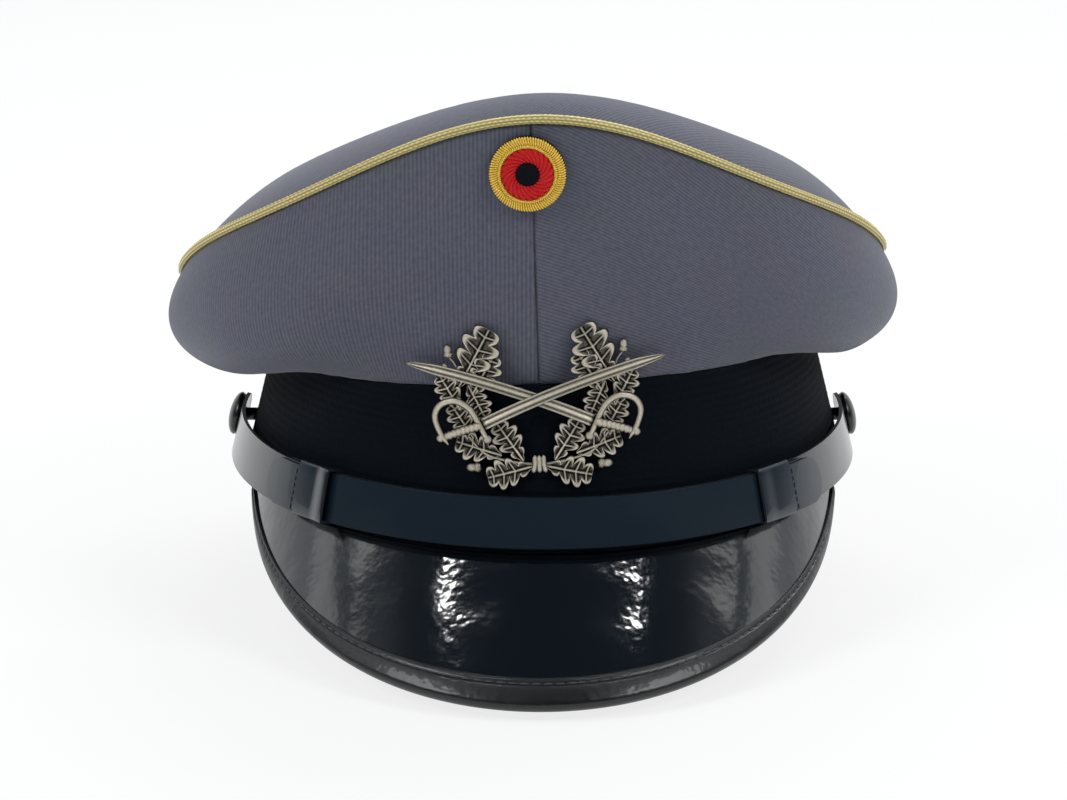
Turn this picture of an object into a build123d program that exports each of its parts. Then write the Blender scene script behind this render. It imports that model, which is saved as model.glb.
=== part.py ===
from build123d import *
from math import atan2, cos, degrees, hypot, radians, sin, sqrt, tan
import os

# A military peaked cap. Millimetres, +Z up, the front of the cap towards -Y.
# The origin is the centre of the head opening, on the plane of the band's lower edge.
# Azimuths are measured about Z from the front, positive towards +X.

# ---- Driving dimensions ----
air = 0.15  # gap between neighbouring pieces that don't touch

# The band is an elliptical cone that narrows upwards.
band_half_width = 88.3
band_half_length = 105.0
band_taper = 0.247  # how much each half axis shrinks per millimetre of height
band_height_side = 38.0
band_rise_front = 5.6  # the band's top edge is an arc, higher at the front and back
cover_thickness = 1.0
stiffener_thickness = 1.3
pocket_width = 1.2  # space behind the stiffener for the stay, the visor's tab and the clips
sweatband_thickness = 1.2
sweatband_height = 33.0

# The rim of the crown: an ellipse in plan and a cosine series in height.
rim_half_width = 103.5
rim_half_length = 107.0
rim_set_back = 10.0
rim_heights = {0: 73.8, 1: 24.8, 2: 15.6, 5: 2.1}  # waves per turn: height
crown_tilt = 2.1  # degrees that the crown sits down to the left
crown_shift = -3.6  # sideways shift of the crown at crown_pivot_height
crown_pivot_height = 60.0

# The side panels, as (front, side, back) values of their profile's two handles.
cloth_thickness = 1.2
lower_handle_angle = (88, -72, 10)
lower_handle_length = (26, 19, 24)
upper_handle_angle = (84, 124, 95)
upper_handle_length = (26, 30, 22)

# The tip swells above the rim.
tip_edge_swell = 23.5
tip_centre_swell = 14.0
tip_edge_power = 4.9
tip_sheet = 1.2

cord_radius = 1.2
hoop_radius = 1.5
hoop_inset = 3.6
hoop_drop = 3.3

stay_width = 12.0
stay_thickness = 0.8

lining_thickness = 0.5
lining_inset = 4.0
lining_scale = 0.88
lining_drop = 9.0

# The visor is bent round an elliptical cylinder whose rulings slope down and forward.
visor_slope = 40.0
visor_length = 49.5
visor_half_angle = 70.0
patent_thickness = 0.8
board_thickness = 1.6
visor_lining_thickness = 0.5
binding_width = 7.0
binding_thickness = 0.7
binding_fit = 0.05

# The chin strap lies on an oval of tangent arcs, given at its outer face.
strap_half_width = 92.3
strap_half_length = 108.2
strap_shoulder_radius = 98.0
shoulder_start = 26.0  # angles from straight ahead where the shoulder arc begins and ends
shoulder_end = 64.0
strap_bottom = 1.5
strap_height = 14.0
strap_thickness = 1.1
strap_gap = 0.1  # between the two layers

# The slides, as angles on the strap's shoulder arc from straight ahead.
slide_front_angle = 44.3
slide_stitch_angle = 52.5
slide_tab_angle = 62.0
slide_wall = 0.8
slide_play = 0.15

# Side buttons.
button_y = 9.0
button_z = strap_bottom + strap_height / 2
button_radius = 6.5
shank_radius = 1.9
button_hole_radius = 2.0

# The badge is bent round an upright cylinder in front of the band.
badge_centre = (-1.8, -98.6, 37.5)
badge_tilt = 7.0
badge_roll = 2.0
badge_bend_radius = 80.0
wreath_thickness = 1.3
sabre_thickness = 1.0
wreath_half_width = 21.5
wreath_half_height = 17.5

# The cockade on the front panel.
cockade_x = -4.4
cockade_z = 101.8
cockade_radius = 10.5

os.makedirs("parts", exist_ok=True)


def finish(builder, name):
    """Label one finished piece and write its STEP file."""
    builder.part.label = name
    export_step(builder.part, f"parts/{name}.step")


# ---- Shape of the crown and the band ----
def blend(values, azimuth):
    """A value that is set at the front, side and back, and runs smoothly between."""
    front, side, back = values
    c = cos(radians(azimuth))
    return side + (front - back) / 2 * c + ((front + back) / 2 - side) * c * c


def ellipse_radius(half_width, half_length, set_back, azimuth):
    """Distance from the Z axis to an ellipse whose centre is set back along +Y."""
    s = sin(radians(azimuth))
    c = cos(radians(azimuth))
    square = (s / half_width) ** 2 + (c / half_length) ** 2
    slope = c * set_back / half_length**2
    rest = (set_back / half_length) ** 2 - 1
    return (-slope + sqrt(slope**2 - square * rest)) / square


def band_axes(height, inset):
    """Half axes of the band's ellipse at a height, and inset from its outer face."""
    shrink = band_taper * height + inset
    return band_half_width - shrink, band_half_length - shrink


def band_radius(height, inset, azimuth):
    return ellipse_radius(*band_axes(height, inset), 0, azimuth)


top_half_length = band_half_length - band_taper * (band_height_side + band_rise_front)
band_arc_radius = (top_half_length**2 + band_rise_front**2) / (2 * band_rise_front)


def seam_height(azimuth):
    """Height of the band's top edge, where the crown is sewn on."""
    radius = band_radius(band_height_side, 0, azimuth)
    y = radius * cos(radians(azimuth))
    x = radius * sin(radians(azimuth))
    rise = band_arc_radius - sqrt(band_arc_radius**2 - y**2)
    return band_height_side + rise + x * tan(radians(crown_tilt))


def rim(azimuth, scale=1.0):
    """Radius and height of the tilted crown's rim, or of a smaller ring inside it."""
    radius = ellipse_radius(rim_half_width, rim_half_length, rim_set_back, azimuth)
    turn = degrees(crown_shift * cos(radians(azimuth)) / radius)
    level = azimuth - turn
    radius *= scale
    height = sum(rise * scale**waves * cos(radians(waves * level)) for waves, rise in rim_heights.items())
    sine = sin(radians(azimuth))
    lean = crown_shift - (height - crown_pivot_height) * sin(radians(crown_tilt))
    return radius + lean * sine, height + radius * sine * sin(radians(crown_tilt))


def tip_swell(scale):
    """Height of the tip above the rim's own surface, from the centre (0) to the edge (1)."""
    centre_share = tip_centre_swell / tip_edge_swell
    share = centre_share + (1 - centre_share) * min(scale / 0.8, 1) ** 2
    return tip_edge_swell * (1 - scale**tip_edge_power) * share


def in_space(radius, azimuth, height):
    return Vector(radius * sin(radians(azimuth)), -radius * cos(radians(azimuth)), height)


def half_plane(azimuth):
    """The upright plane through Z at an azimuth: local x is outwards, local y is up."""
    s = sin(radians(azimuth))
    c = cos(radians(azimuth))
    return Plane(origin=(0, 0, 0), x_dir=(s, -c, 0), z_dir=(-c, -s, 0))


def unit(angle):
    return Vector(cos(radians(angle)), sin(radians(angle)))


# ---- Where the badge and its two screw posts sit ----
tilt = radians(badge_tilt)
roll = radians(badge_roll)
badge_out = Vector(0, -cos(tilt), sin(tilt))
badge_up = Vector(0, sin(tilt), cos(tilt))
badge_right = Vector(cos(roll), 0, 0) + badge_up * sin(roll)
badge_plane = Plane(origin=badge_centre, x_dir=badge_right, z_dir=badge_out)
bend_axis_plane = Plane(
    origin=Vector(*badge_centre) - badge_out * badge_bend_radius, x_dir=(1, 0, 0), z_dir=badge_up
)


def wreath_point(turn, grow=1.0):
    """A point on the wreath's oval, with turn in degrees from the bottom knot."""
    x = wreath_half_width * grow * sin(radians(turn))
    y = -wreath_half_height * grow * cos(radians(turn))
    return x, y


post_radius = 1.1
post_hole_radius = 1.4
post_turn = 45  # where they stand on the wreath
nut_radius = 3.0
nut_thickness = 0.7
post_x, post_y = wreath_point(post_turn)


def post_plane(side):
    """On the wreath's curved back, facing the band."""
    rise = badge_bend_radius - sqrt(badge_bend_radius**2 - post_x**2)
    origin = badge_plane.from_local_coords((side * post_x, post_y, -rise))
    return Plane(origin=origin, x_dir=badge_right, z_dir=-badge_out)


def post_holes():
    for side in (-1, 1):
        with BuildSketch(post_plane(side)) as hole:
            Circle(post_hole_radius)
        extrude(hole.sketch, amount=20, mode=Mode.SUBTRACT)


# ---- Band ----
def band_ring(outer_inset, inner_inset, low, high):
    """A tapered ring of the band's shape, joined to the part being built."""
    for inset, mode in ((outer_inset, Mode.ADD), (inner_inset, Mode.SUBTRACT)):
        sections = []
        for height in (low, high):
            with BuildSketch(Plane.XY.offset(height)) as section:
                Ellipse(*band_axes(height, inset))
            sections.append(section.sketch)
        loft(sections, mode=mode)


def trim_band_top(drop):
    """Cut the ring along the arched and tilted top edge, a little below the seam."""
    tilt = radians(crown_tilt)
    trim_plane = Plane(
        origin=(0, 0, band_height_side - drop),
        x_dir=(0, 1, 0),
        z_dir=(cos(tilt), 0, sin(tilt)),
    )
    with BuildSketch(trim_plane) as above:
        with BuildLine():
            ThreePointArc(
                (-top_half_length, band_rise_front), (0, 0), (top_half_length, band_rise_front)
            )
            Polyline(
                (top_half_length, band_rise_front),
                (130, band_rise_front + 2),
                (130, 60),
                (-130, 60),
                (-130, band_rise_front + 2),
                (-top_half_length, band_rise_front),
            )
        make_face()
    extrude(above.sketch, amount=120, both=True, mode=Mode.SUBTRACT)


def button_holes(radius):
    with BuildSketch(Plane.YZ) as hole:
        with Locations((button_y, button_z)):
            Circle(radius)
    extrude(hole.sketch, amount=120, both=True, mode=Mode.SUBTRACT)


stiffener_inset = cover_thickness + 0.1
pocket_inset = stiffener_inset + stiffener_thickness
sweatband_inset = pocket_inset + pocket_width
band_blank_height = 52.0

with BuildPart() as band_cover:
    band_ring(0, cover_thickness, 0, band_blank_height)
    trim_band_top(0)
    button_holes(button_hole_radius)
    post_holes()
finish(band_cover, "band_cover")

with BuildPart() as band_stiffener:
    band_ring(stiffener_inset, pocket_inset, 0, band_blank_height)
    trim_band_top(0)
    button_holes(button_hole_radius)
    post_holes()
finish(band_stiffener, "band_stiffener")

with BuildPart() as sweatband:
    band_ring(sweatband_inset, sweatband_inset + sweatband_thickness, 0, sweatband_height)
finish(sweatband, "sweatband")


# ---- Crown side panels ----
def panel_profile(azimuth):
    """The four control points of a side panel's outer curve, from the band to the rim."""
    seam_z = seam_height(azimuth) + air
    seam_r = band_radius(seam_z, 0, azimuth) + air
    rim_r, rim_z = rim(azimuth)
    start = Vector(seam_r, seam_z)
    end = Vector(rim_r - 0.1, rim_z - cord_radius - 0.25)
    lower = unit(blend(lower_handle_angle, azimuth)) * blend(lower_handle_length, azimuth)
    upper = unit(blend(upper_handle_angle, azimuth)) * blend(upper_handle_length, azimuth)
    return [start, start + lower, end - upper, end]


def inner_profile(points, thickness):
    """The same curve moved to the inside by the cloth's thickness."""
    angles = [degrees(atan2((b - a).Y, (b - a).X)) for a, b in zip(points, points[1:])]
    moved = [points[0] + unit(angles[0] + 90) * thickness]
    for point, before, after in zip(points[1:], angles, angles[1:]):
        half_turn = (after - before + 180) % 360 - 180
        middle = before + half_turn / 2 + 90
        moved.append(point + unit(middle) * (thickness / max(cos(radians(half_turn / 2)), 0.6)))
    return moved + [points[3] + unit(angles[2] + 90) * thickness]


def side_panel(first, last):
    """A quarter of the crown's side, lofted through profiles from one seam to the next."""
    steps = 6
    sections = []
    for step in range(steps + 1):
        azimuth = first + (last - first) * step / steps
        outer = panel_profile(azimuth)
        inner = inner_profile(outer, cloth_thickness)
        with BuildSketch(half_plane(azimuth)) as section:
            with BuildLine():
                Bezier(*outer)
                Line(outer[3], inner[3])
                Bezier(*reversed(inner))
                Line(inner[0], outer[0])
            make_face()
        sections.append(section.sketch)
    loft(sections)


with BuildPart() as quarter_front_left:
    side_panel(-90, 0)
finish(quarter_front_left, "quarter_front_left")

with BuildPart() as quarter_front_right:
    side_panel(0, 90)
finish(quarter_front_right, "quarter_front_right")

with BuildPart() as quarter_rear_right:
    side_panel(90, 180)
finish(quarter_rear_right, "quarter_rear_right")

with BuildPart() as quarter_rear_left:
    side_panel(180, 270)
finish(quarter_rear_left, "quarter_rear_left")


# ---- Rim cord and the sprung hoop inside it ----
def ring_point(azimuth, inset, drop):
    radius, height = rim(azimuth)
    return in_space(radius - inset, azimuth, height - drop)


def rim_ring(section_radius, inset, drop):
    """A round cord that follows the rim, lofted in two halves."""
    step = 15
    for first in (0, 180):
        sections = []
        for azimuth in range(first, first + 180 + step, step):
            ahead = ring_point(azimuth + 1, inset, drop) - ring_point(azimuth - 1, inset, drop)
            outwards = in_space(1, azimuth, 0)
            centre = ring_point(azimuth, inset, drop)
            with BuildSketch(Plane(origin=centre, x_dir=outwards, z_dir=ahead)) as section:
                Circle(section_radius)
            sections.append(section.sketch)
        loft(sections)


with BuildPart() as crown_piping:
    rim_ring(cord_radius, 0, 0)
finish(crown_piping, "crown_piping")

with BuildPart() as crown_hoop:
    rim_ring(hoop_radius, hoop_inset, hoop_drop)
finish(crown_hoop, "crown_hoop")


# ---- Tip and lining ----
def sheet_height(x, y):
    """Height of the tip's top face over a point in plan."""
    azimuth = degrees(atan2(x, -y))
    share = min(hypot(x, y) / rim(azimuth)[0], 1)
    return rim(azimuth, share)[1] + tip_swell(share)


def domed_sheet(scale, edge_inset, drop, thickness):
    """A closed sheet that fills the rim, lofted from front to back through arched strips."""
    sections = []
    for turn in (5, 16, 29, 43, 57, 71, 85, 99, 113, 127, 141, 154, 166, 175):
        ends = [in_space(rim(side * turn, scale)[0] - edge_inset, side * turn, 0) for side in (-1, 1)]
        middle = (ends[0] + ends[1]) / 2
        across = (ends[1] - ends[0]).normalized()
        half_width = (ends[1] - ends[0]).length / 2
        top = []
        for step in range(-6, 7):
            reach = half_width * sin(radians(15 * step))
            spot = middle + across * reach
            top.append(Vector(reach, sheet_height(spot.X, spot.Y) - drop))
        bottom = [point - Vector(0, thickness) for point in reversed(top)]
        with BuildSketch(Plane(origin=middle, x_dir=across, z_dir=across.cross(Vector(0, 0, 1)))) as section:
            with BuildLine():
                Spline(*top)
                Line(top[-1], bottom[0])
                Spline(*bottom)
                Line(bottom[-1], top[0])
            make_face()
        sections.append(section.sketch)
    loft(sections)


with BuildPart() as crown_tip:
    domed_sheet(1.0, cord_radius + 0.45, 0.2, tip_sheet)
finish(crown_tip, "crown_tip")

with BuildPart() as lining_tip:
    domed_sheet(lining_scale, 0, lining_drop, lining_thickness)
finish(lining_tip, "lining_tip")


def lining_wall(first, last):
    """Half of the lining's side wall, from the band's top edge to the lining's tip."""
    step = 15
    sections = []
    for azimuth in range(first, last + step, step):
        low_z = seam_height(azimuth) + 0.6
        low_r = band_radius(low_z, lining_inset, azimuth)
        high_r, high_z = rim(azimuth, lining_scale)
        high_z += tip_swell(lining_scale) - lining_drop - 1.5
        low = Vector(low_r, low_z)
        high = Vector(high_r, high_z)
        run = (high - low).normalized()
        inwards = Vector(-run.Y, run.X) * lining_thickness
        with BuildSketch(half_plane(azimuth)) as section:
            Polygon(low, high, high + inwards, low + inwards, align=None)
        sections.append(section.sketch)
    loft(sections)


with BuildPart() as lining_side_right:
    lining_wall(0, 180)
finish(lining_side_right, "lining_side_right")

with BuildPart() as lining_side_left:
    lining_wall(180, 360)
finish(lining_side_left, "lining_side_left")

# ---- Front stay: a strip spring from the band's pocket up to the hoop ----
stay_inset = pocket_inset + stay_thickness / 2 + 0.35  # its flat width needs room in the curve
stay_foot = 12.0
hoop_front_r, hoop_front_z = rim(0)
stay_head = hoop_front_z - hoop_drop - hoop_radius - 1.1
stay_head_y = -(hoop_front_r - hoop_inset)


def stay_line_y(height):
    return -(band_half_length - band_taper * height - stay_inset)


with BuildPart() as front_stay:
    with BuildSketch(Plane.YZ):
        with BuildLine():
            FilletPolyline(
                (stay_line_y(stay_foot), stay_foot),
                (stay_line_y(46.0), 46.0),
                (-92.2, 54.0),
                (stay_head_y, stay_head),
                radius=12,
            )
        trace(line_width=stay_thickness)
    extrude(amount=stay_width / 2, both=True)
finish(front_stay, "front_stay")


# ---- Visor ----
slope_down = Vector(0, -cos(radians(visor_slope)), -sin(radians(visor_slope)))
slope_up = Vector(0, -sin(radians(visor_slope)), cos(radians(visor_slope)))
arch_height = band_half_length * sin(radians(visor_slope))


def visor_plane(angle):
    """At one ruling of the visor: local x runs down the slope, local y is off the top."""
    root = Vector(band_half_width * sin(radians(angle)), -band_half_length * cos(radians(angle)), 0)
    outwards = Vector(1, 0, 0) * (sin(radians(angle)) / band_half_width)
    outwards += slope_up * (cos(radians(angle)) / arch_height)
    along = slope_down.cross(outwards.normalized())
    return Plane(origin=root, x_dir=slope_down, z_dir=along)


def visor_stations():
    """Rulings of the visor with the length of each: the outline is half an ellipse."""
    for turn in (-80, -66, -50, -34, -17, 0, 17, 34, 50, 66, 80):
        yield visor_half_angle * sin(radians(turn)), visor_length * cos(radians(turn))


def visor_sheet(top, bottom):
    """One layer of the visor, between two depths below its top face."""
    sections = []
    for angle, length in visor_stations():
        with BuildSketch(visor_plane(angle)) as section:
            Polygon((0.3, -top), (length, -top), (length, -bottom), (0.3, -bottom), align=None)
        sections.append(section.sketch)
    loft(sections)


board_top = patent_thickness
board_bottom = board_top + board_thickness
visor_depth = board_bottom + visor_lining_thickness

with BuildPart() as visor_patent:
    visor_sheet(0, board_top)
finish(visor_patent, "visor_patent")

with BuildPart() as visor_board:
    visor_sheet(board_top, board_bottom)
finish(visor_board, "visor_board")

with BuildPart() as visor_lining:
    visor_sheet(board_bottom, visor_depth)
finish(visor_lining, "visor_lining")

with BuildPart() as visor_binding:
    for angle, length in visor_stations():
        over = binding_thickness
        under = -visor_depth - binding_thickness
        nose = (length + 1.9, (over + under) / 2)
        inner = max(length - binding_width, 0.4)
        edge = length + binding_fit
        top = binding_fit
        bottom = -visor_depth - binding_fit
        with BuildSketch(visor_plane(angle)):
            with BuildLine():
                Polyline((length, over), (inner, over), (inner, top), (edge, top), (edge, bottom))
                Polyline((edge, bottom), (inner, bottom), (inner, under), (length, under))
                ThreePointArc((length, under), nose, (length, over))
            make_face()
    loft()
finish(visor_binding, "visor_binding")

# ---- Chin strap ----
# The front and side radii follow from the oval's half axes and its shoulder arc.
cos_a, sin_a = cos(radians(shoulder_start)), sin(radians(shoulder_start))
cos_b, sin_b = cos(radians(shoulder_end)), sin(radians(shoulder_end))
length_left = strap_half_length - strap_shoulder_radius * (cos_a - cos_b)
width_left = strap_half_width - strap_shoulder_radius * (sin_b - sin_a)
balance = (1 - cos_a) * (1 - sin_b) - cos_b * sin_a
strap_front_radius = (length_left * (1 - sin_b) - cos_b * width_left) / balance
strap_side_radius = ((1 - cos_a) * width_left - length_left * sin_a) / balance
radius_step = strap_shoulder_radius - strap_front_radius
front_centre = Vector(0, strap_front_radius - strap_half_length)
shoulder_centre = front_centre + Vector(-radius_step * sin_a, radius_step * cos_a)
side_centre = Vector(strap_half_width - strap_side_radius, 0)


def strap_point(side, angle, depth):
    """A point on the oval, depth inside its outer face; side is +1 right or -1 left."""
    if angle < shoulder_start:
        centre, radius = front_centre, strap_front_radius
    elif angle < shoulder_end:
        centre, radius = shoulder_centre, strap_shoulder_radius
    else:
        centre, radius = side_centre, strap_side_radius
    reach = radius - depth
    return Vector(side * (centre.X + reach * sin(radians(angle))), centre.Y - reach * cos(radians(angle)))


def strap_arc(side, first, last, depth):
    middle = strap_point(side, (first + last) / 2, depth)
    ThreePointArc(strap_point(side, first, depth), middle, strap_point(side, last, depth))


def strap_face_line(own_side, depth, tip_angle, end_angle):
    """One face of a strap half, from its button round the front to its tip."""
    far = -own_side
    strap_arc(own_side, end_angle, shoulder_end, depth)
    strap_arc(own_side, shoulder_end, shoulder_start, depth)
    front_start = strap_point(own_side, shoulder_start, depth)
    front_stop = strap_point(far, shoulder_start, depth)
    ThreePointArc(front_start, strap_point(1, 0, depth), front_stop)
    strap_arc(far, shoulder_start, tip_angle, depth)
    return strap_point(own_side, end_angle, depth), strap_point(far, tip_angle, depth)


button_angle = 90 + degrees(button_y / strap_side_radius)
strap_end_angle = button_angle + degrees(7.0 / strap_side_radius)


def end_corners(spot, thickness):
    """The short edges across a strip's thickness at one of its ends."""
    return [
        edge
        for edge in edges()
        if edge.length < 1.5 * thickness and hypot(edge.center().X - spot.X, edge.center().Y - spot.Y) < 2
    ]


def strap_half(own_side, depth, tip_angle):
    """A strap half of one layer, with round ends and a hole for its button."""
    with BuildSketch(Plane.XY.offset(strap_bottom)) as outline:
        with BuildLine():
            outer_start, outer_stop = strap_face_line(own_side, depth, tip_angle, strap_end_angle)
            inner_depth = depth + strap_thickness
            inner_start, inner_stop = strap_face_line(own_side, inner_depth, tip_angle, strap_end_angle)
            Line(outer_start, inner_start)
            Line(outer_stop, inner_stop)
        make_face()
    extrude(outline.sketch, amount=strap_height)
    for end in (outer_stop, outer_start):
        fillet(end_corners(end, strap_thickness), radius=strap_height / 2 - 0.4)
    button_holes(button_hole_radius)


inner_layer = strap_thickness + strap_gap

with BuildPart() as chin_strap_left:
    strap_half(-1, 0, slide_tab_angle - 1.5)
finish(chin_strap_left, "chin_strap_left")

with BuildPart() as chin_strap_right:
    strap_half(1, inner_layer, slide_tab_angle - 1.5)
finish(chin_strap_right, "chin_strap_right")


# ---- Slides ----
def slide_plane(side, angle):
    """Upright plane through a shoulder arc's centre: local x is the radius, local y is up."""
    s = sin(radians(angle)) * side
    c = cos(radians(angle))
    return Plane(origin=(side * shoulder_centre.X, shoulder_centre.Y, 0), x_dir=(s, -c, 0), z_dir=(-c, -s, 0))


def slide(side):
    """A leather loop round both strap layers, with a rounded tab on its outer side."""
    wall_r = strap_shoulder_radius + slide_play
    outer_r = wall_r + slide_wall
    back_r = strap_shoulder_radius - inner_layer - strap_thickness - slide_play
    middle_z = strap_bottom + strap_height / 2
    room = strap_height + 2 * slide_play
    turn_axis = Axis((side * shoulder_centre.X, shoulder_centre.Y, 0), (0, 0, side))
    with BuildSketch(slide_plane(side, slide_front_angle)) as loop:
        with Locations(((outer_r + back_r - slide_wall) / 2, middle_z)):
            RectangleRounded(outer_r - back_r + slide_wall, room + 2 * slide_wall, 1.2)
        with Locations(((wall_r + back_r) / 2, middle_z)):
            Rectangle(wall_r - back_r, room, mode=Mode.SUBTRACT)
    revolve(loop.sketch, axis=turn_axis, revolution_arc=slide_stitch_angle - slide_front_angle)
    with BuildSketch(slide_plane(side, slide_stitch_angle)) as tab:
        with Locations(((wall_r + outer_r) / 2, middle_z)):
            Rectangle(slide_wall, strap_height - 0.4)
    revolve(tab.sketch, axis=turn_axis, revolution_arc=slide_tab_angle - slide_stitch_angle)
    tab_end = slide_plane(side, slide_tab_angle).from_local_coords((wall_r, middle_z, 0))
    fillet(end_corners(tab_end, slide_wall), radius=strap_height / 2 - 0.6)


with BuildPart() as slide_left:
    slide(-1)
finish(slide_left, "slide_left")

with BuildPart() as slide_right:
    slide(1)
finish(slide_right, "slide_right")


# ---- Side buttons and the clips behind the band ----
def button(side, strap_face):
    """A domed button whose shank runs through the strap and the band, along X."""
    base = side * (strap_face + 0.2)
    rim_x = base + side * 1.2
    crown_x = base + side * 3.8
    band_x = band_axes(button_z, pocket_inset)[0] * sqrt(1 - (button_y / band_half_length) ** 2)
    inner_x = side * (band_x - 0.45)
    with BuildSketch(Plane.XY.offset(button_z)) as half_section:
        with BuildLine():
            Polyline(
                (rim_x, button_y + button_radius),
                (base, button_y + button_radius - 0.5),
                (base, button_y + shank_radius),
                (inner_x, button_y + shank_radius),
                (inner_x, button_y),
                (crown_x, button_y),
            )
            ThreePointArc(
                (crown_x, button_y),
                (crown_x - side * 0.6, button_y + button_radius * 0.6),
                (rim_x, button_y + button_radius),
            )
        make_face()
    revolve(half_section.sketch, axis=Axis((0, button_y, button_z), (1, 0, 0)))


left_face = strap_half_width
right_face = strap_half_width - inner_layer

with BuildPart() as button_left:
    button(-1, left_face)
finish(button_left, "button_left")

with BuildPart() as button_right:
    button(1, right_face)
finish(button_right, "button_right")

clip_radius = 4.5
clip_thickness = 0.6


def button_clip(side):
    """A washer on the shank's end, flat against the stiffener's sloping inner face."""
    wall_x = band_axes(button_z, pocket_inset + 0.3)[0] * sqrt(1 - (button_y / band_half_length) ** 2)
    slope = (band_half_width / band_half_length) ** 2
    normal = Vector(side * wall_x, slope * button_y, 0).normalized() + Vector(0, 0, band_taper)
    with BuildSketch(Plane(origin=(side * wall_x, button_y, button_z), z_dir=-normal)) as washer:
        Circle(clip_radius)
    extrude(washer.sketch, amount=clip_thickness)
    button_holes(shank_radius + 0.05)


with BuildPart() as button_clip_left:
    button_clip(-1)
finish(button_clip_left, "button_clip_left")

with BuildPart() as button_clip_right:
    button_clip(1)
finish(button_clip_right, "button_clip_right")

# ---- Cockade ----
cockade_azimuth = -2.6
cockade_lift = 0.45  # the flat disc stands off the curved panel


def panel_radius(azimuth, height):
    """Radius of the panel's outer face at a height, near the front."""
    low, high = 0.3, 1.0
    curve = Bezier(*panel_profile(azimuth), mode=Mode.PRIVATE)
    while high - low > 0.001:
        middle = (low + high) / 2
        if (curve @ middle).Y < height:
            low = middle
        else:
            high = middle
    return (curve @ low).X


cockade_back = panel_radius(cockade_azimuth, cockade_z)
panel_lean = (panel_radius(cockade_azimuth, cockade_z + 8) - panel_radius(cockade_azimuth, cockade_z - 8)) / 16
cockade_out = in_space(1, cockade_azimuth, -panel_lean).normalized()
cockade_plane = Plane(
    origin=in_space(cockade_back, cockade_azimuth, cockade_z) + cockade_out * cockade_lift,
    x_dir=cockade_out.cross(Vector(0, 0, 1)) * -1,
    z_dir=cockade_out,
)


def cockade_ring(inner, outer, low, high):
    """A turned ring with a rounded top, standing on the cockade's felt."""
    middle = (inner + outer) / 2
    with BuildSketch(Plane.XZ) as profile:
        with BuildLine():
            Polyline((inner, high - 0.6), (inner, low), (outer, low), (outer, high - 0.6))
            ThreePointArc((outer, high - 0.6), (middle, high), (inner, high - 0.6))
        make_face()
    revolve(profile.sketch, axis=Axis.Z)


def place_on_front(builder):
    """Move a piece that was turned about Z to the front panel."""
    return cockade_plane.location * builder.part


with BuildPart() as cockade_disc:
    Cylinder(cockade_radius - 0.4, 0.8, align=(Align.CENTER, Align.CENTER, Align.MIN))
with BuildPart() as cockade_base:
    add(place_on_front(cockade_disc))
finish(cockade_base, "cockade_base")

with BuildPart() as gold_turned:
    cockade_ring(7.1, cockade_radius, 0.8, 2.4)
with BuildPart() as cockade_gold_ring:
    add(place_on_front(gold_turned))
finish(cockade_gold_ring, "cockade_gold_ring")

with BuildPart() as red_turned:
    cockade_ring(3.3, 7.0, 0.8, 2.7)
with BuildPart() as cockade_red_ring:
    add(place_on_front(red_turned))
finish(cockade_red_ring, "cockade_red_ring")

with BuildPart() as centre_turned:
    with Locations((0, 0, 0.8)):
        Cylinder(3.2, 1.5, align=(Align.CENTER, Align.CENTER, Align.MIN))
    fillet(edges().group_by(Axis.Z)[-1], radius=0.7)
with BuildPart() as cockade_centre:
    add(place_on_front(centre_turned))
finish(cockade_centre, "cockade_centre")

# ---- Badge: two crossed sabres over an open wreath of oak leaves ----
def bend_to_layer(low, high):
    """Keep only what lies between two heights above the badge's curved back."""
    with BuildSketch(bend_axis_plane) as shell:
        Circle(badge_bend_radius + high)
        Circle(badge_bend_radius + low, mode=Mode.SUBTRACT)
    extrude(shell.sketch, amount=60, both=True, mode=Mode.INTERSECT)


def leaf_edge(length, width, side):
    """One edge of an oak leaf, as arcs over rounded lobes from the stem to the tip."""
    sinuses = [(0.0, 0.10), (0.30, 0.30), (0.56, 0.32), (0.80, 0.22), (1.0, 0.0)]
    lobes = [(0.17, 0.40), (0.46, 0.50), (0.71, 0.44), (0.95, 0.20)]
    for (x0, y0), (xm, ym), (x1, y1) in zip(sinuses, lobes, sinuses[1:]):
        ThreePointArc(
            (x0 * length, side * y0 * width),
            (xm * length, side * ym * width),
            (x1 * length, side * y1 * width),
        )


def oak_leaf(length, width):
    with BuildLine() as outline:
        leaf_edge(length, width, 1)
        leaf_edge(length, width, -1)
        Line((0, 0.10 * width), (0, -0.10 * width))
    make_face(outline.edges())


def wreath_branch(side):
    """Leaves and acorns along one branch, growing from the knot to the open top."""
    for number in range(7):
        turn = 14 + number * 19.5
        x, y = wreath_point(turn)
        heading = turn + (22 if number % 2 else -20)
        angle = heading if side > 0 else 180 - heading
        length = 11.5 - 0.25 * number
        with Locations(Location((side * x, y, 0), (0, 0, angle))):
            with BuildSketch(mode=Mode.PRIVATE) as leaf:
                oak_leaf(length, 6.8)
            add(leaf.sketch)
    for turn in (38, 112):
        x, y = wreath_point(turn, 1.24)
        with Locations(Location((side * x, y, 0), (0, 0, side * (turn - 30)))):
            Ellipse(1.9, 1.4)


with BuildPart() as badge_wreath:
    with BuildSketch(badge_plane):
        Ellipse(wreath_half_width + 0.8, wreath_half_height + 0.8)
        Ellipse(wreath_half_width - 0.8, wreath_half_height - 0.8, mode=Mode.SUBTRACT)
        with Locations((0, wreath_half_height)):
            Rectangle(25, 8, mode=Mode.SUBTRACT)
        wreath_branch(-1)
        wreath_branch(1)
    extrude(amount=14, both=True)
    bend_to_layer(0, wreath_thickness)
finish(badge_wreath, "badge_wreath")

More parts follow.
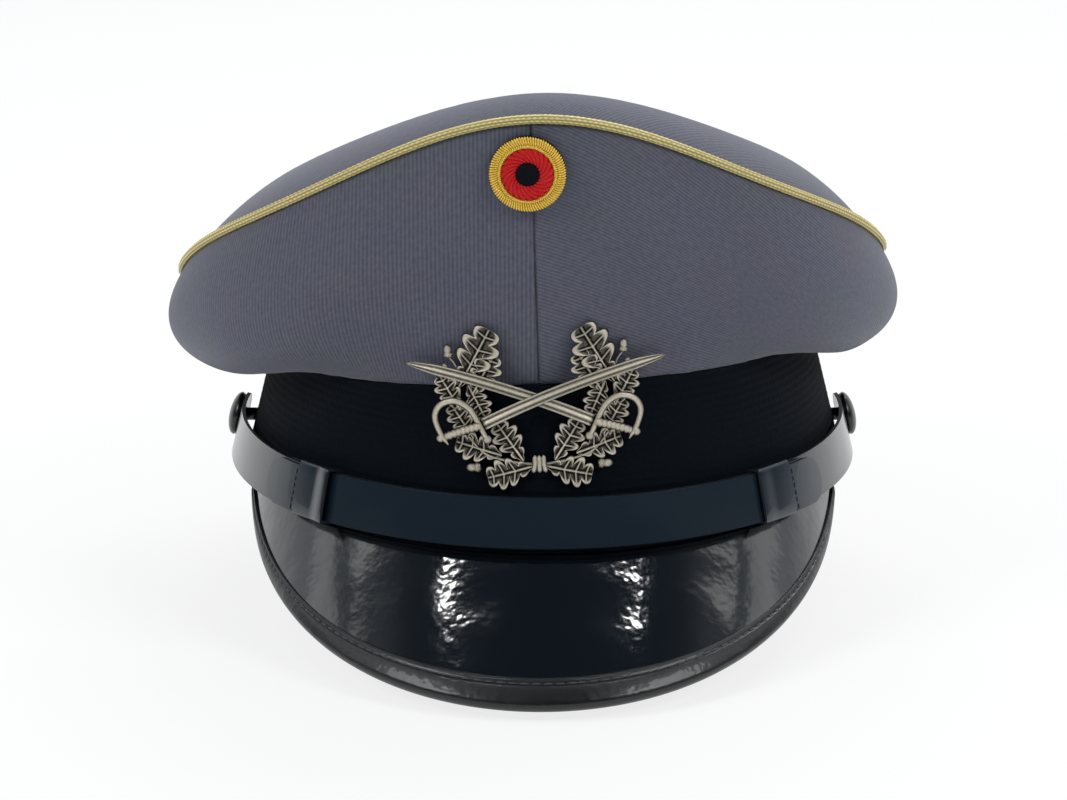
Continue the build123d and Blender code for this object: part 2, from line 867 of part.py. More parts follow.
with BuildPart() as badge_knot:
    with BuildSketch(badge_plane):
        with Locations((0, -wreath_half_height)):
            for step in (-1, 0, 1):
                with Locations(Location((step * 1.7, 0, 0), (0, 0, -step * 8))):
                    SlotCenterToCenter(4.6, 1.9, rotation=90)
    extrude(amount=14, both=True)
    bend_to_layer(wreath_thickness + 0.05, wreath_thickness + 1.0)
finish(badge_knot, "badge_knot")


def sabre_outline(side):
    """A curved sabre: tip out at the top of its side, hilt at the other."""
    with BuildLine() as blade:
        ThreePointArc((-37.5 * side, 2.2), (-14 * side, -1.9), (15 * side, -1.2))
        Line((15 * side, -1.2), (15 * side, 1.0))
        ThreePointArc((15 * side, 1.0), (-12 * side, 0.2), (-37.5 * side, 2.2))
    make_face(blade.edges())
    with Locations(Location((20.6 * side, 0.7, 0), (0, 0, side * 6))):
        RectangleRounded(11.5, 2.9, 1.2)
    with Locations(Location((15.4 * side, 0, 0), (0, 0, 0))):
        RectangleRounded(1.5, 6.4, 0.6)
    with BuildLine() as guard:
        ThreePointArc((15.4 * side, 2.6), (21.5 * side, 7.2), (26.4 * side, 1.6))
    trace(guard.edges(), line_width=1.3)


sabre_angle = 15.5
for number, (name, side) in enumerate((("badge_sabre_left", 1), ("badge_sabre_right", -1))):
    base = wreath_thickness + 0.05 + number * (sabre_thickness + 0.05)
    with BuildPart() as badge_sabre:
        with BuildSketch(Plane(badge_plane.location * Location((0, 1.2, 0), (0, 0, -side * sabre_angle)))):
            sabre_outline(side)
        extrude(amount=14, both=True)
        bend_to_layer(base, base + sabre_thickness)
    finish(badge_sabre, name)

# ---- Screw posts from the badge's back through the band, each with a nut behind it ----
def post_length(side, inset):
    """From the wreath's back to the band's ellipse at an inset, along the post."""
    start = post_plane(side).origin
    low, high = 0.0, 20.0
    while high - low > 0.01:
        middle = (low + high) / 2
        spot = start - badge_out * middle
        half_width, half_length = band_axes(spot.Z, inset)
        if hypot(spot.X / half_width, spot.Y / half_length) > 1:
            low = middle
        else:
            high = middle
    return low


def badge_post(side):
    with BuildSketch(post_plane(side).offset(0.35)) as post:
        Circle(post_radius)
    extrude(post.sketch, amount=post_length(side, pocket_inset) + 0.3)


def badge_nut(side):
    """A thin nut on the post's end, flat against the stiffener's sloping inner face."""
    inset = pocket_inset + 0.25
    spot = post_plane(side).origin - badge_out * post_length(side, inset)
    half_width, half_length = band_axes(spot.Z, inset)
    level = Vector(spot.X / half_width**2, spot.Y / half_length**2, 0).normalized()
    with BuildSketch(Plane(origin=spot, z_dir=-level - Vector(0, 0, band_taper))) as nut:
        RegularPolygon(nut_radius, 12)
        Circle(post_radius + 0.25, mode=Mode.SUBTRACT)
    extrude(nut.sketch, amount=nut_thickness)


with BuildPart() as badge_post_left:
    badge_post(-1)
finish(badge_post_left, "badge_post_left")

with BuildPart() as badge_post_right:
    badge_post(1)
finish(badge_post_right, "badge_post_right")

with BuildPart() as badge_nut_left:
    badge_nut(-1)
finish(badge_nut_left, "badge_nut_left")

with BuildPart() as badge_nut_right:
    badge_nut(1)
finish(badge_nut_right, "badge_nut_right")
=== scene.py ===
import bpy
import bmesh
from math import acos, asin, atan2, cos, degrees, exp, hypot, pi, radians, sin, sqrt, tan
from mathutils import Matrix, Vector, noise


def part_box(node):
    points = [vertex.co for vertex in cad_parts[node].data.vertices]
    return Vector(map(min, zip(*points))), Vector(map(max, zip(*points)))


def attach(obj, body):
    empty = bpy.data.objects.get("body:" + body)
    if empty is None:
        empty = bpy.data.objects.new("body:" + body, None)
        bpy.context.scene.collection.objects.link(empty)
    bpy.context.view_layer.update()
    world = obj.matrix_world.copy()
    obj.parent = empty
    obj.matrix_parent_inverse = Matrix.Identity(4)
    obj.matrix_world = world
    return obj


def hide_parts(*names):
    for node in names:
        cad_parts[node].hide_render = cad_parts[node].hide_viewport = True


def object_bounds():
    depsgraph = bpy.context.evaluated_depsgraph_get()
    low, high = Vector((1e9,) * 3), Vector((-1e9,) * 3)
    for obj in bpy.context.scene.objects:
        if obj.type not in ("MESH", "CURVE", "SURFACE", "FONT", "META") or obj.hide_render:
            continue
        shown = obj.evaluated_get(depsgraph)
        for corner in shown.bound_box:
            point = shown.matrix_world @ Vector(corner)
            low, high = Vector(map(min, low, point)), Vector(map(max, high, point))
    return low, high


# A military peaked cap. The frame is in metres, +Z up, the front of the cap towards -Y.
# The shape functions below work in millimetres, and azimuths are measured about Z from the front.

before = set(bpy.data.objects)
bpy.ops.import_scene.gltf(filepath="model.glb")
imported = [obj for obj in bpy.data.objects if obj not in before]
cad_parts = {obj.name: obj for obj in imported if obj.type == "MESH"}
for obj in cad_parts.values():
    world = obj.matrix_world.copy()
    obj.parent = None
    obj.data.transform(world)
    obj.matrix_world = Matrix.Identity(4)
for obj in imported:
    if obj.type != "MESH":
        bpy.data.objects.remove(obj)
cad_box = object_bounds()
MM = 0.001
weld = 0.000002  # strands closer than this, in metres, are one vertex


# ---- Small helpers ----
def linear(hex_colour):
    """An sRGB hex colour as the linear RGBA that a shader socket takes."""
    parts = [int(hex_colour[i : i + 2], 16) / 255 for i in (1, 3, 5)]
    return tuple(c / 12.92 if c <= 0.04045 else ((c + 0.055) / 1.055) ** 2.4 for c in parts) + (1.0,)


def add_node(tree, kind, inputs=None, **settings):
    """One shader node, with its settings made and its inputs set or linked."""
    made = tree.nodes.new(kind)
    for key, value in settings.items():
        setattr(made, key, value)
    for key, value in (inputs or {}).items():
        if isinstance(value, bpy.types.NodeSocket):
            tree.links.new(value, made.inputs[key])
        else:
            made.inputs[key].default_value = value
    return made


def new_material(name):
    """An empty material with its output node; returns the material and its node tree."""
    material = bpy.data.materials.new(name)
    material.use_nodes = True
    material.node_tree.nodes.clear()
    return material, material.node_tree


def finish_material(tree, shader):
    tree.links.new(shader.outputs[0], add_node(tree, "ShaderNodeOutputMaterial").inputs["Surface"])


def mapped_grid(columns, rows, place, flat=None, relief=None, closed=False):
    """A grid of quads whose corners go where place(s, t) says, with s and t from 0 to 1.

    flat(s, t) is the cloth coordinate in metres that the weave follows.
    relief(s, t) is stored as an attribute, 1 on what stands out and 0 in the hollows.
    """
    bm = bmesh.new()
    uv_layer = bm.loops.layers.uv.new("flat")
    height_layer = bm.verts.layers.float.new("relief")
    bmesh.ops.create_grid(bm, x_segments=columns, y_segments=rows, size=0.5)
    corners = {vert: (vert.co.x + 0.5, vert.co.y + 0.5) for vert in bm.verts}
    for face in bm.faces:
        for loop in face.loops:
            s, t = corners[loop.vert]
            loop[uv_layer].uv = flat(s, t) if flat else (s, t)
    for vert, (s, t) in corners.items():
        vert[height_layer] = relief(s, t) if relief else 1.0
        vert.co = Vector(place(s, t)) * MM
    if closed:
        bmesh.ops.remove_doubles(bm, verts=bm.verts, dist=0.00001)
    return bm


def make_piece(bm, name, material, body, *nodes, slot=None, smooth=True):
    """A finished mesh as a piece of the cap that rides on a body and may stand for CAD nodes."""
    mesh = bpy.data.meshes.new(name)
    bm.to_mesh(mesh)
    bm.free()
    piece = bpy.data.objects.new(name, mesh)
    bpy.context.scene.collection.objects.link(piece)
    mesh.materials.append(material)
    mesh.polygons.foreach_set("use_smooth", [smooth] * len(mesh.polygons))
    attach(piece, body)
    if nodes:
        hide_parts(*nodes)
    return piece


def thicken(piece, thickness, offset=-1.0):
    wall = piece.modifiers.new("thickness", "SOLIDIFY")
    wall.thickness = thickness * MM
    wall.offset = offset
    return wall


def merge_into(bm, other):
    """Add another bmesh's geometry to bm."""
    mesh = bpy.data.meshes.new("part")
    other.to_mesh(mesh)
    other.free()
    bm.from_mesh(mesh)
    bpy.data.meshes.remove(mesh)


def relief_of(bm):
    """The layer that says how far each vertex of a carved or wound piece stands out."""
    return bm.verts.layers.float.get("relief") or bm.verts.layers.float.new("relief")


def smooth_step(edge_low, edge_high, value):
    share = min(max((value - edge_low) / (edge_high - edge_low), 0), 1)
    return share * share * (3 - 2 * share)


# ---- Camera: a long lens from the front, a little above the cap ----
view_elevation = radians(12.5)
aim = Vector((0, 0, 0.050))
camera_data = bpy.data.cameras.new("camera")
camera_data.sensor_width = 36.0
camera_data.lens = 114.38
camera_data.shift_x = -0.0102
camera_data.shift_y = -0.1076
camera = bpy.data.objects.new("camera", camera_data)
camera.location = aim + Vector((0, -cos(view_elevation), sin(view_elevation)))
camera.rotation_euler = (pi / 2 - view_elevation, 0, 0)
bpy.context.scene.collection.objects.link(camera)
bpy.context.scene.camera = camera

# ---- Shape of the cap, in millimetres ----
band_half_width, band_half_length, band_taper = 88.3, 105.0, 0.247
band_height_side, band_rise_front = 38.0, 5.6
rim_half_width, rim_half_length, rim_set_back = 103.5, 107.0, 10.0
rim_heights = {0: 73.8, 1: 24.8, 2: 15.6, 5: 2.1}  # waves per turn: height
crown_tilt, crown_shift, crown_pivot_height = 2.1, -3.6, 60.0
tip_edge_swell, tip_centre_swell, tip_edge_power = 23.5, 14.0, 4.9
cord_radius = 1.2


def blend(front, side, back, azimuth):
    c = cos(radians(azimuth))
    return side + (front - back) / 2 * c + ((front + back) / 2 - side) * c * c


def ellipse_radius(half_width, half_length, set_back, azimuth):
    s, c = sin(radians(azimuth)), cos(radians(azimuth))
    square = (s / half_width) ** 2 + (c / half_length) ** 2
    slope = c * set_back / half_length**2
    return (-slope + sqrt(slope**2 - square * ((set_back / half_length) ** 2 - 1))) / square


def band_radius(height, inset, azimuth):
    shrink = band_taper * height + inset
    return ellipse_radius(band_half_width - shrink, band_half_length - shrink, 0, azimuth)


top_half_length = band_half_length - band_taper * (band_height_side + band_rise_front)
band_arc_radius = (top_half_length**2 + band_rise_front**2) / (2 * band_rise_front)


def seam_height(azimuth):
    radius = band_radius(band_height_side, 0, azimuth)
    y, x = radius * cos(radians(azimuth)), radius * sin(radians(azimuth))
    return band_height_side + band_arc_radius - sqrt(band_arc_radius**2 - y**2) + x * tan(radians(crown_tilt))


def rim(azimuth, scale=1.0):
    """Radius and height of the tilted crown's rim, or of a smaller ring inside it."""
    radius = ellipse_radius(rim_half_width, rim_half_length, rim_set_back, azimuth)
    level = azimuth - degrees(crown_shift * cos(radians(azimuth)) / radius)
    radius *= scale
    height = sum(rise * scale**waves * cos(radians(waves * level)) for waves, rise in rim_heights.items())
    sine = sin(radians(azimuth))
    lean = crown_shift - (height - crown_pivot_height) * sin(radians(crown_tilt))
    return radius + lean * sine, height + radius * sine * sin(radians(crown_tilt))


def tip_swell(scale):
    centre_share = tip_centre_swell / tip_edge_swell
    share = centre_share + (1 - centre_share) * min(scale / 0.8, 1) ** 2
    return tip_edge_swell * (1 - scale**tip_edge_power) * share


def in_space(radius, azimuth, height):
    return Vector((radius * sin(radians(azimuth)), -radius * cos(radians(azimuth)), height))


def unit(angle):
    return Vector((cos(radians(angle)), sin(radians(angle))))


# How a side panel leaves the band and meets the rim, at the front, the side and the back: its
# direction in degrees above the horizontal, and how far it holds to it.
leaving_angles, leaving_reaches = (88, -72, 10), (26, 19, 24)
meeting_angles, meeting_reaches = (84, 124, 95), (26, 30, 22)
seam_clearance, rim_clearance, rim_drop = 0.15, 0.1, 0.25
profiles = {}


def panel_profile(azimuth):
    """The four control points, as (radius, height), of a side panel's curve from the band to the rim."""
    key = round(azimuth, 4)
    if key not in profiles:
        seam_z = seam_height(azimuth) + seam_clearance
        rim_r, rim_z = rim(azimuth)
        start = Vector((band_radius(seam_z, 0, azimuth) + seam_clearance, seam_z))
        end = Vector((rim_r - rim_clearance, rim_z - cord_radius - rim_drop))
        lower = unit(blend(*leaving_angles, azimuth)) * blend(*leaving_reaches, azimuth)
        upper = unit(blend(*meeting_angles, azimuth)) * blend(*meeting_reaches, azimuth)
        profiles[key] = (start, start + lower, end - upper, end)
    return profiles[key]


def panel_point(azimuth, share, proud=0.0):
    """A point on a side panel, from the band (0) to the rim (1), and proud of it along its normal."""
    a, b, c, d = panel_profile(azimuth)
    k = 1 - share
    spot = a * k**3 + b * (3 * k * k * share) + c * (3 * k * share * share) + d * share**3
    ahead = (b - a) * (k * k) + (c - b) * (2 * k * share) + (d - c) * (share * share)
    outwards = Vector((ahead.y, -ahead.x)).normalized()
    spot = spot + outwards * proud
    return in_space(spot.x, azimuth, spot.y)


# ---- Materials: sizes of grain, pitch and depth are in millimetres ----
def per_metre(size):
    """How many grains, hills or threads of that size lie along a metre."""
    return 1 / (size * MM)


wave_scale = 2 * pi / 20  # the wave texture's own scale for one line a metre


# Wool gabardine: a steep twill whose raised lines are broken by the weft that passes over them.
# The hollows between the lines are painted darker, as painted shade, and the bump shapes them too.
# Matt, with a soft bloom of fibre ends at grazing angles. Lines are drawn coarser than life, to show.
def wool_gabardine(name, line_angle, pitch, painted_hollow_shade="#41424e", raised="#6f707c", weft=1.613, mottle=22.2):
    material, tree = new_material(name)
    where = add_node(tree, "ShaderNodeUVMap", uv_map="flat").outputs["UV"]
    turned = add_node(tree, "ShaderNodeMapping", {"Vector": where, "Rotation": (0, 0, radians(line_angle))})
    twill = add_node(
        tree, "ShaderNodeTexWave",
        {"Vector": turned.outputs[0], "Scale": wave_scale * per_metre(pitch), "Distortion": 0.9,
         "Detail": 2.0, "Detail Scale": 0.6},
        wave_type="BANDS", bands_direction="X",
    )
    broken = add_node(
        tree, "ShaderNodeTexNoise",
        {"Vector": where, "Scale": per_metre(weft), "Detail": 2.0, "Roughness": 0.6},
    )
    threads = add_node(
        tree, "ShaderNodeMix", {"Factor": 0.62, "A": twill.outputs["Fac"], "B": broken.outputs["Fac"]},
        data_type="FLOAT",
    )
    shade = add_node(tree, "ShaderNodeTexNoise", {"Vector": where, "Scale": per_metre(mottle), "Detail": 3.0})
    # Painted shade: the twill's hollows take the darker colour, its raised lines the lighter one.
    cloth = add_node(
        tree, "ShaderNodeMix", {"Factor": threads.outputs[0], "A": linear(painted_hollow_shade), "B": linear(raised)},
        data_type="RGBA",
    )
    tired = add_node(
        tree, "ShaderNodeMix", {"Factor": 0.12, "A": cloth.outputs["Result"], "B": shade.outputs["Color"]},
        data_type="RGBA", blend_type="SOFT_LIGHT",
    )
    bump = add_node(
        tree, "ShaderNodeBump", {"Strength": 0.45, "Distance": 0.22 * MM, "Height": threads.outputs[0]}
    )
    shader = add_node(
        tree, "ShaderNodeBsdfPrincipled",
        {"Base Color": tired.outputs["Result"], "Roughness": 0.9, "Specular IOR Level": 0.2,
         "Sheen Weight": 0.22, "Sheen Roughness": 0.45, "Normal": bump.outputs[0]},
    )
    finish_material(tree, shader)
    return material


gabardine_straight = wool_gabardine("wool_gabardine_straight", 2, 1.2)
gabardine_bias = wool_gabardine("wool_gabardine_bias", -72, 0.95)
gabardine_tip = wool_gabardine("wool_gabardine_tip", 35, 1.1)


# Mohair braid: ribbed black braid that swallows light, with a short hairy surface.
def mohair_braid(hair=1.333, hair_depth=0.3):
    material, tree = new_material("mohair_braid")
    where = add_node(tree, "ShaderNodeUVMap", uv_map="flat").outputs["UV"]
    hairs = add_node(
        tree, "ShaderNodeTexNoise",
        {"Vector": where, "Scale": per_metre(hair), "Detail": 4.0, "Roughness": 0.65},
    )
    colour = add_node(
        tree, "ShaderNodeMix",
        {"Factor": hairs.outputs["Fac"], "A": linear("#03070c"), "B": linear("#0c131b")}, data_type="RGBA",
    )
    bump = add_node(
        tree, "ShaderNodeBump", {"Strength": 0.7, "Distance": hair_depth * MM, "Height": hairs.outputs["Fac"]}
    )
    shader = add_node(
        tree, "ShaderNodeBsdfPrincipled",
        {"Base Color": colour.outputs["Result"], "Roughness": 0.95, "Specular IOR Level": 0.08,
         "Sheen Weight": 0.03, "Sheen Roughness": 0.5, "Normal": bump.outputs[0]},
    )
    finish_material(tree, shader)
    return material


braid = mohair_braid()

# Patent leather: leather under a thick clear lacquer. Mirror-like, but the hide's hills and its finer
# orange peel bend what it mirrors.
lacquer_roughness, wiped_patch = 0.02, 35.7
scuffs_begin, scuffs_full = 24, 44  # millimetres to either side of the cap's middle


def patent_leather(name, colour, hills, peel, roughness, coat, scuffed=0.0):
    """hills and peel are each (size, depth) in millimetres; scuffed dulls the sides, where hands hold it."""
    material, tree = new_material(name)
    where = add_node(tree, "ShaderNodeTexCoord").outputs["Object"]
    across = add_node(tree, "ShaderNodeSeparateXYZ", {0: where}).outputs["X"]
    sideways = add_node(tree, "ShaderNodeMath", {0: across}, operation="ABSOLUTE")
    scuffs = add_node(
        tree, "ShaderNodeMapRange",
        {"Value": sideways.outputs[0], "From Min": scuffs_begin * MM, "From Max": scuffs_full * MM,
         "To Min": lacquer_roughness, "To Max": lacquer_roughness + scuffed},
    )
    wiped = add_node(
        tree, "ShaderNodeTexNoise", {"Vector": where, "Scale": per_metre(wiped_patch), "Detail": 4.0}
    )
    dull = add_node(
        tree, "ShaderNodeMapRange",
        {"Value": wiped.outputs["Fac"], "From Min": 0.3, "From Max": 0.8, "To Min": roughness,
         "To Max": roughness * 1.5},
    )
    normal = None
    for size, depth in (hills, peel):
        hide = add_node(
            tree, "ShaderNodeTexNoise",
            {"Vector": where, "Scale": per_metre(size), "Detail": 1.5, "Roughness": 0.4},
        )
        inputs = {"Strength": 1.0, "Distance": depth * MM, "Height": hide.outputs["Fac"]}
        if normal:
            inputs["Normal"] = normal
        normal = add_node(tree, "ShaderNodeBump", inputs).outputs[0]
    duller = add_node(
        tree, "ShaderNodeMath", {0: dull.outputs["Result"], 1: scuffs.outputs["Result"]}, operation="ADD"
    )
    shader = add_node(
        tree, "ShaderNodeBsdfPrincipled",
        {"Base Color": linear(colour), "Roughness": duller.outputs[0], "IOR": 1.5, "Coat Weight": coat,
         "Coat Roughness": scuffs.outputs["Result"], "Coat IOR": 1.5, "Normal": normal,
         "Coat Normal": normal},
    )
    finish_material(tree, shader)
    return material


visor_patent = patent_leather(
    "patent_leather_visor", "#050b11", hills=(19, 0.5), peel=(2.2, 0.045), roughness=0.05, coat=1.0,
    scuffed=0.1,
)
strap_patent = patent_leather(
    "patent_leather_strap", "#14202a", hills=(30, 0.35), peel=(9, 0.02), roughness=0.16, coat=0.35
)
binding_patent = patent_leather(
    "patent_leather_binding", "#03070a", hills=(9, 0.25), peel=(2.0, 0.12), roughness=0.3, coat=0.2
)


# Vegetable-tanned leather: semi-matt, with pores and fine creases.
def tanned_leather(name, light, dark, pore=1.333, patch=25):
    material, tree = new_material(name)
    where = add_node(tree, "ShaderNodeTexCoord").outputs["Object"]
    pores = add_node(tree, "ShaderNodeTexVoronoi", {"Vector": where, "Scale": per_metre(pore)})
    patches = add_node(
        tree, "ShaderNodeTexNoise", {"Vector": where, "Scale": per_metre(patch), "Detail": 4.0}
    )
    colour = add_node(
        tree, "ShaderNodeMix", {"Factor": patches.outputs["Fac"], "A": linear(dark), "B": linear(light)},
        data_type="RGBA",
    )
    bump = add_node(
        tree, "ShaderNodeBump", {"Strength": 0.5, "Distance": 0.15 * MM, "Height": pores.outputs["Distance"]}
    )
    shader = add_node(
        tree, "ShaderNodeBsdfPrincipled",
        {"Base Color": colour.outputs["Result"], "Roughness": 0.55, "IOR": 1.5, "Normal": bump.outputs[0]},
    )
    finish_material(tree, shader)
    return material


sweat_leather = tanned_leather("tan_sweatband_leather", "#7d5637", "#5b3b22")
lining_leather = tanned_leather("black_visor_lining_leather", "#26282b", "#17181a")


# Satin lining: long floats of rayon, smooth along the thread with a broad soft highlight.
def satin(pitch=0.6):
    material, tree = new_material("rayon_satin_lining")
    where = add_node(tree, "ShaderNodeUVMap", uv_map="flat").outputs["UV"]
    threads = add_node(
        tree, "ShaderNodeTexWave",
        {"Vector": where, "Scale": wave_scale * per_metre(pitch), "Distortion": 1.0, "Detail": 1.0},
        wave_type="BANDS", bands_direction="X",
    )
    colour = add_node(
        tree, "ShaderNodeMix",
        {"Factor": threads.outputs["Fac"], "A": linear("#5b4c3b"), "B": linear("#75634f")}, data_type="RGBA",
    )
    bump = add_node(
        tree, "ShaderNodeBump", {"Strength": 0.25, "Distance": 0.1 * MM, "Height": threads.outputs["Fac"]}
    )
    shader = add_node(
        tree, "ShaderNodeBsdfPrincipled",
        {"Base Color": colour.outputs["Result"], "Roughness": 0.42, "Sheen Weight": 0.15,
         "Normal": bump.outputs[0]},
    )
    finish_material(tree, shader)
    return material


lining_satin = satin()


# Metal thread: flattened gilt wire wound on a core, so each thread glints on its own. The glints are
# painted highlights, pale spots mixed into the colour, and the hollows get painted shade from the relief
# layer.
def metal_thread(name, colour, shadow, glint_share, metallic, roughness, specular=0.5, glint=0.4545):
    material, tree = new_material(name)
    where = add_node(tree, "ShaderNodeTexCoord").outputs["Object"]
    glints = add_node(tree, "ShaderNodeTexNoise", {"Vector": where, "Scale": per_metre(glint), "Detail": 2.0})
    depth = add_node(tree, "ShaderNodeAttribute", attribute_name="relief")
    bright = add_node(
        tree, "ShaderNodeMapRange",
        {"Value": glints.outputs["Fac"], "From Min": 0.45, "From Max": 0.8, "To Max": glint_share},
    )
    # Painted highlight: pale glints mixed into the thread's colour where the noise is high.
    painted_glint_colour = add_node(
        tree, "ShaderNodeMix",
        {"Factor": bright.outputs["Result"], "A": linear(colour), "B": linear("#fff3c4")}, data_type="RGBA",
    )
    # Painted shade: the relief layer darkens the hollows towards the shadow colour.
    shaded = add_node(
        tree, "ShaderNodeMix",
        {"Factor": depth.outputs["Fac"], "A": linear(shadow), "B": painted_glint_colour.outputs["Result"]}, data_type="RGBA",
    )
    bump = add_node(
        tree, "ShaderNodeBump", {"Strength": 0.4, "Distance": 0.1 * MM, "Height": glints.outputs["Fac"]}
    )
    shader = add_node(
        tree, "ShaderNodeBsdfPrincipled",
        {"Base Color": shaded.outputs["Result"], "Metallic": metallic, "Roughness": roughness,
         "Specular IOR Level": specular, "Normal": bump.outputs[0]},
    )
    finish_material(tree, shader)
    return material


gold_braid = metal_thread(
    "gilt_braided_cord", "#ebdc93", "#84713a", glint_share=0.75, metallic=0.2, roughness=0.5
)
gold_bullion = metal_thread(
    "gilt_bullion_wire", "#ffd238", "#7a4d12", glint_share=0.5, metallic=0.35, roughness=0.36
)
red_bullion = metal_thread(
    "red_silk_bullion", "#d80a14", "#380408", glint_share=0.05, metallic=0.0, roughness=0.5, specular=0.2
)


# Wool felt: black, matt, with short fibres that catch no highlight.
def wool_felt(fibre=0.5556):
    material, tree = new_material("black_wool_felt")
    where = add_node(tree, "ShaderNodeTexCoord").outputs["Object"]
    fibres = add_node(tree, "ShaderNodeTexNoise", {"Vector": where, "Scale": per_metre(fibre), "Detail": 4.0})
    colour = add_node(
        tree, "ShaderNodeMix",
        {"Factor": fibres.outputs["Fac"], "A": linear("#07080b"), "B": linear("#191b22")}, data_type="RGBA",
    )
    bump = add_node(
        tree, "ShaderNodeBump", {"Strength": 0.8, "Distance": 0.2 * MM, "Height": fibres.outputs["Fac"]}
    )
    shader = add_node(
        tree, "ShaderNodeBsdfPrincipled",
        {"Base Color": colour.outputs["Result"], "Roughness": 1.0, "Specular IOR Level": 0.1,
         "Normal": bump.outputs[0]},
    )
    finish_material(tree, shader)
    return material


felt = wool_felt()


# Old silver: cast white metal, blackened in a bath and then polished on what stands out.
def old_silver(cast_grain=0.6667, unevenness=0.13):
    material, tree = new_material("antiqued_cast_silver")
    where = add_node(tree, "ShaderNodeTexCoord").outputs["Object"]
    depth = add_node(tree, "ShaderNodeAttribute", attribute_name="relief")
    cast = add_node(
        tree, "ShaderNodeTexNoise", {"Vector": where, "Scale": per_metre(cast_grain), "Detail": 3.0}
    )
    uneven = add_node(
        tree, "ShaderNodeMapRange",
        {"Value": cast.outputs["Fac"], "To Min": -unevenness, "To Max": unevenness},
    )
    spread = add_node(
        tree, "ShaderNodeMath", {0: depth.outputs["Fac"], 1: uneven.outputs["Result"]}, operation="ADD"
    )
    polished = add_node(
        tree, "ShaderNodeMapRange", {"Value": spread.outputs[0], "From Min": 0.34, "From Max": 1.05}
    )
    colour = add_node(
        tree, "ShaderNodeMix",
        {"Factor": polished.outputs["Result"], "A": linear("#14120f"), "B": linear("#e9dfcb")},
        data_type="RGBA",
    )
    dull = add_node(
        tree, "ShaderNodeMapRange", {"Value": polished.outputs["Result"], "To Min": 0.7, "To Max": 0.4}
    )
    bump = add_node(
        tree, "ShaderNodeBump", {"Strength": 0.3, "Distance": 0.06 * MM, "Height": cast.outputs["Fac"]}
    )
    shader = add_node(
        tree, "ShaderNodeBsdfPrincipled",
        {"Base Color": colour.outputs["Result"], "Metallic": 0.8, "Roughness": dull.outputs["Result"],
         "Normal": bump.outputs[0]},
    )
    finish_material(tree, shader)
    return material


silver = old_silver()


# Gilt brass: stamped and gilded, with a fine pebbled ground.
def gilt_brass(pebble=0.909):
    material, tree = new_material("stamped_gilt_brass")
    where = add_node(tree, "ShaderNodeTexCoord").outputs["Object"]
    pebbles = add_node(tree, "ShaderNodeTexVoronoi", {"Vector": where, "Scale": per_metre(pebble)})
    bump = add_node(
        tree, "ShaderNodeBump", {"Strength": 0.5, "Distance": 0.2 * MM, "Height": pebbles.outputs["Distance"]}
    )
    shader = add_node(
        tree, "ShaderNodeBsdfPrincipled",
        {"Base Color": linear("#c9a44c"), "Metallic": 1.0, "Roughness": 0.33, "Normal": bump.outputs[0]},
    )
    finish_material(tree, shader)
    return material


brass = gilt_brass()


def plain_finish(name, colour, roughness, metallic, grain_size, grain_depth):
    """A finish for the inner pieces: one colour with the grain, in millimetres, that its making leaves."""
    material, tree = new_material(name)
    where = add_node(tree, "ShaderNodeTexCoord").outputs["Object"]
    grain = add_node(
        tree, "ShaderNodeTexNoise", {"Vector": where, "Scale": per_metre(grain_size), "Detail": 3.0}
    )
    bump = add_node(
        tree, "ShaderNodeBump",
        {"Strength": 0.4, "Distance": grain_depth * MM, "Height": grain.outputs["Fac"]},
    )
    tone = add_node(
        tree, "ShaderNodeMix", {"Factor": 0.2, "A": linear(colour), "B": grain.outputs["Color"]},
        data_type="RGBA", blend_type="SOFT_LIGHT",
    )
    shader = add_node(
        tree, "ShaderNodeBsdfPrincipled",
        {"Base Color": tone.outputs["Result"], "Metallic": metallic, "Roughness": roughness,
         "Normal": bump.outputs[0]},
    )
    finish_material(tree, shader)
    return material


# Buckram: coarse cotton stiffened with size. Leather-board: pressed leather fibre. Nylon: drawn rod.
# Tempered steel: rolled strip with a dull blue-grey skin. Linen thread: waxed, for the seams.
# Black lacquer: stoved on the buttons' brass, smooth and a little softer in its shine than the patent.
buckram = plain_finish("sized_buckram", "#bfb7a3", 0.9, 0.0, 1.111, 0.2)
leather_board = plain_finish("pressed_leather_board", "#4a3b2e", 0.85, 0.0, 1.667, 0.2)
nylon = plain_finish("drawn_nylon_rod", "#d9d7cf", 0.35, 0.0, 5.0, 0.02)
spring_steel = plain_finish("tempered_spring_steel", "#8b8e93", 0.35, 1.0, 1.429, 0.02)
thread = plain_finish("waxed_linen_thread", "#3c4249", 0.45, 0.0, 0.4, 0.08)
black_lacquer = plain_finish("black_lacquered_brass", "#0a0c10", 0.28, 0.0, 2.5, 0.01)


def dress(material, *nodes):
    """Give CAD nodes whose shape is right their material."""
    for name in nodes:
        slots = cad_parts[name].data.materials
        slots.clear()
        slots.append(material)


dress(buckram, "band_stiffener")
dress(nylon, "crown_hoop")
dress(spring_steel, "front_stay", "button_clip_left", "button_clip_right")
dress(brass, "badge_nut_left", "badge_nut_right")
dress(silver, "badge_post_left", "badge_post_right")
dress(felt, "cockade_base", "cockade_centre")


# ---- Crown cloth: four quarters and the tip ----
wave_length, wave_height = 62.5, 0.9
ripple_length, ripple_height = 22.22, 0.25
pucker_height, pucker_fade = 0.5, 9


def cloth_relief(point, azimuth, share):
    """How far the cloth stands proud or sinks: slow waves held at its seams, and puckers at the band."""
    waves = noise.noise(point / wave_length) * wave_height
    ripples = noise.noise(point / ripple_length) * ripple_height
    pucker = noise.noise(Vector((azimuth * 0.22, share * 2.0, 3.0))) * pucker_height
    held = sin(pi * min(max(share, 0), 1)) ** 0.5
    return (waves + ripples) * held + pucker * exp(-share * pucker_fade)


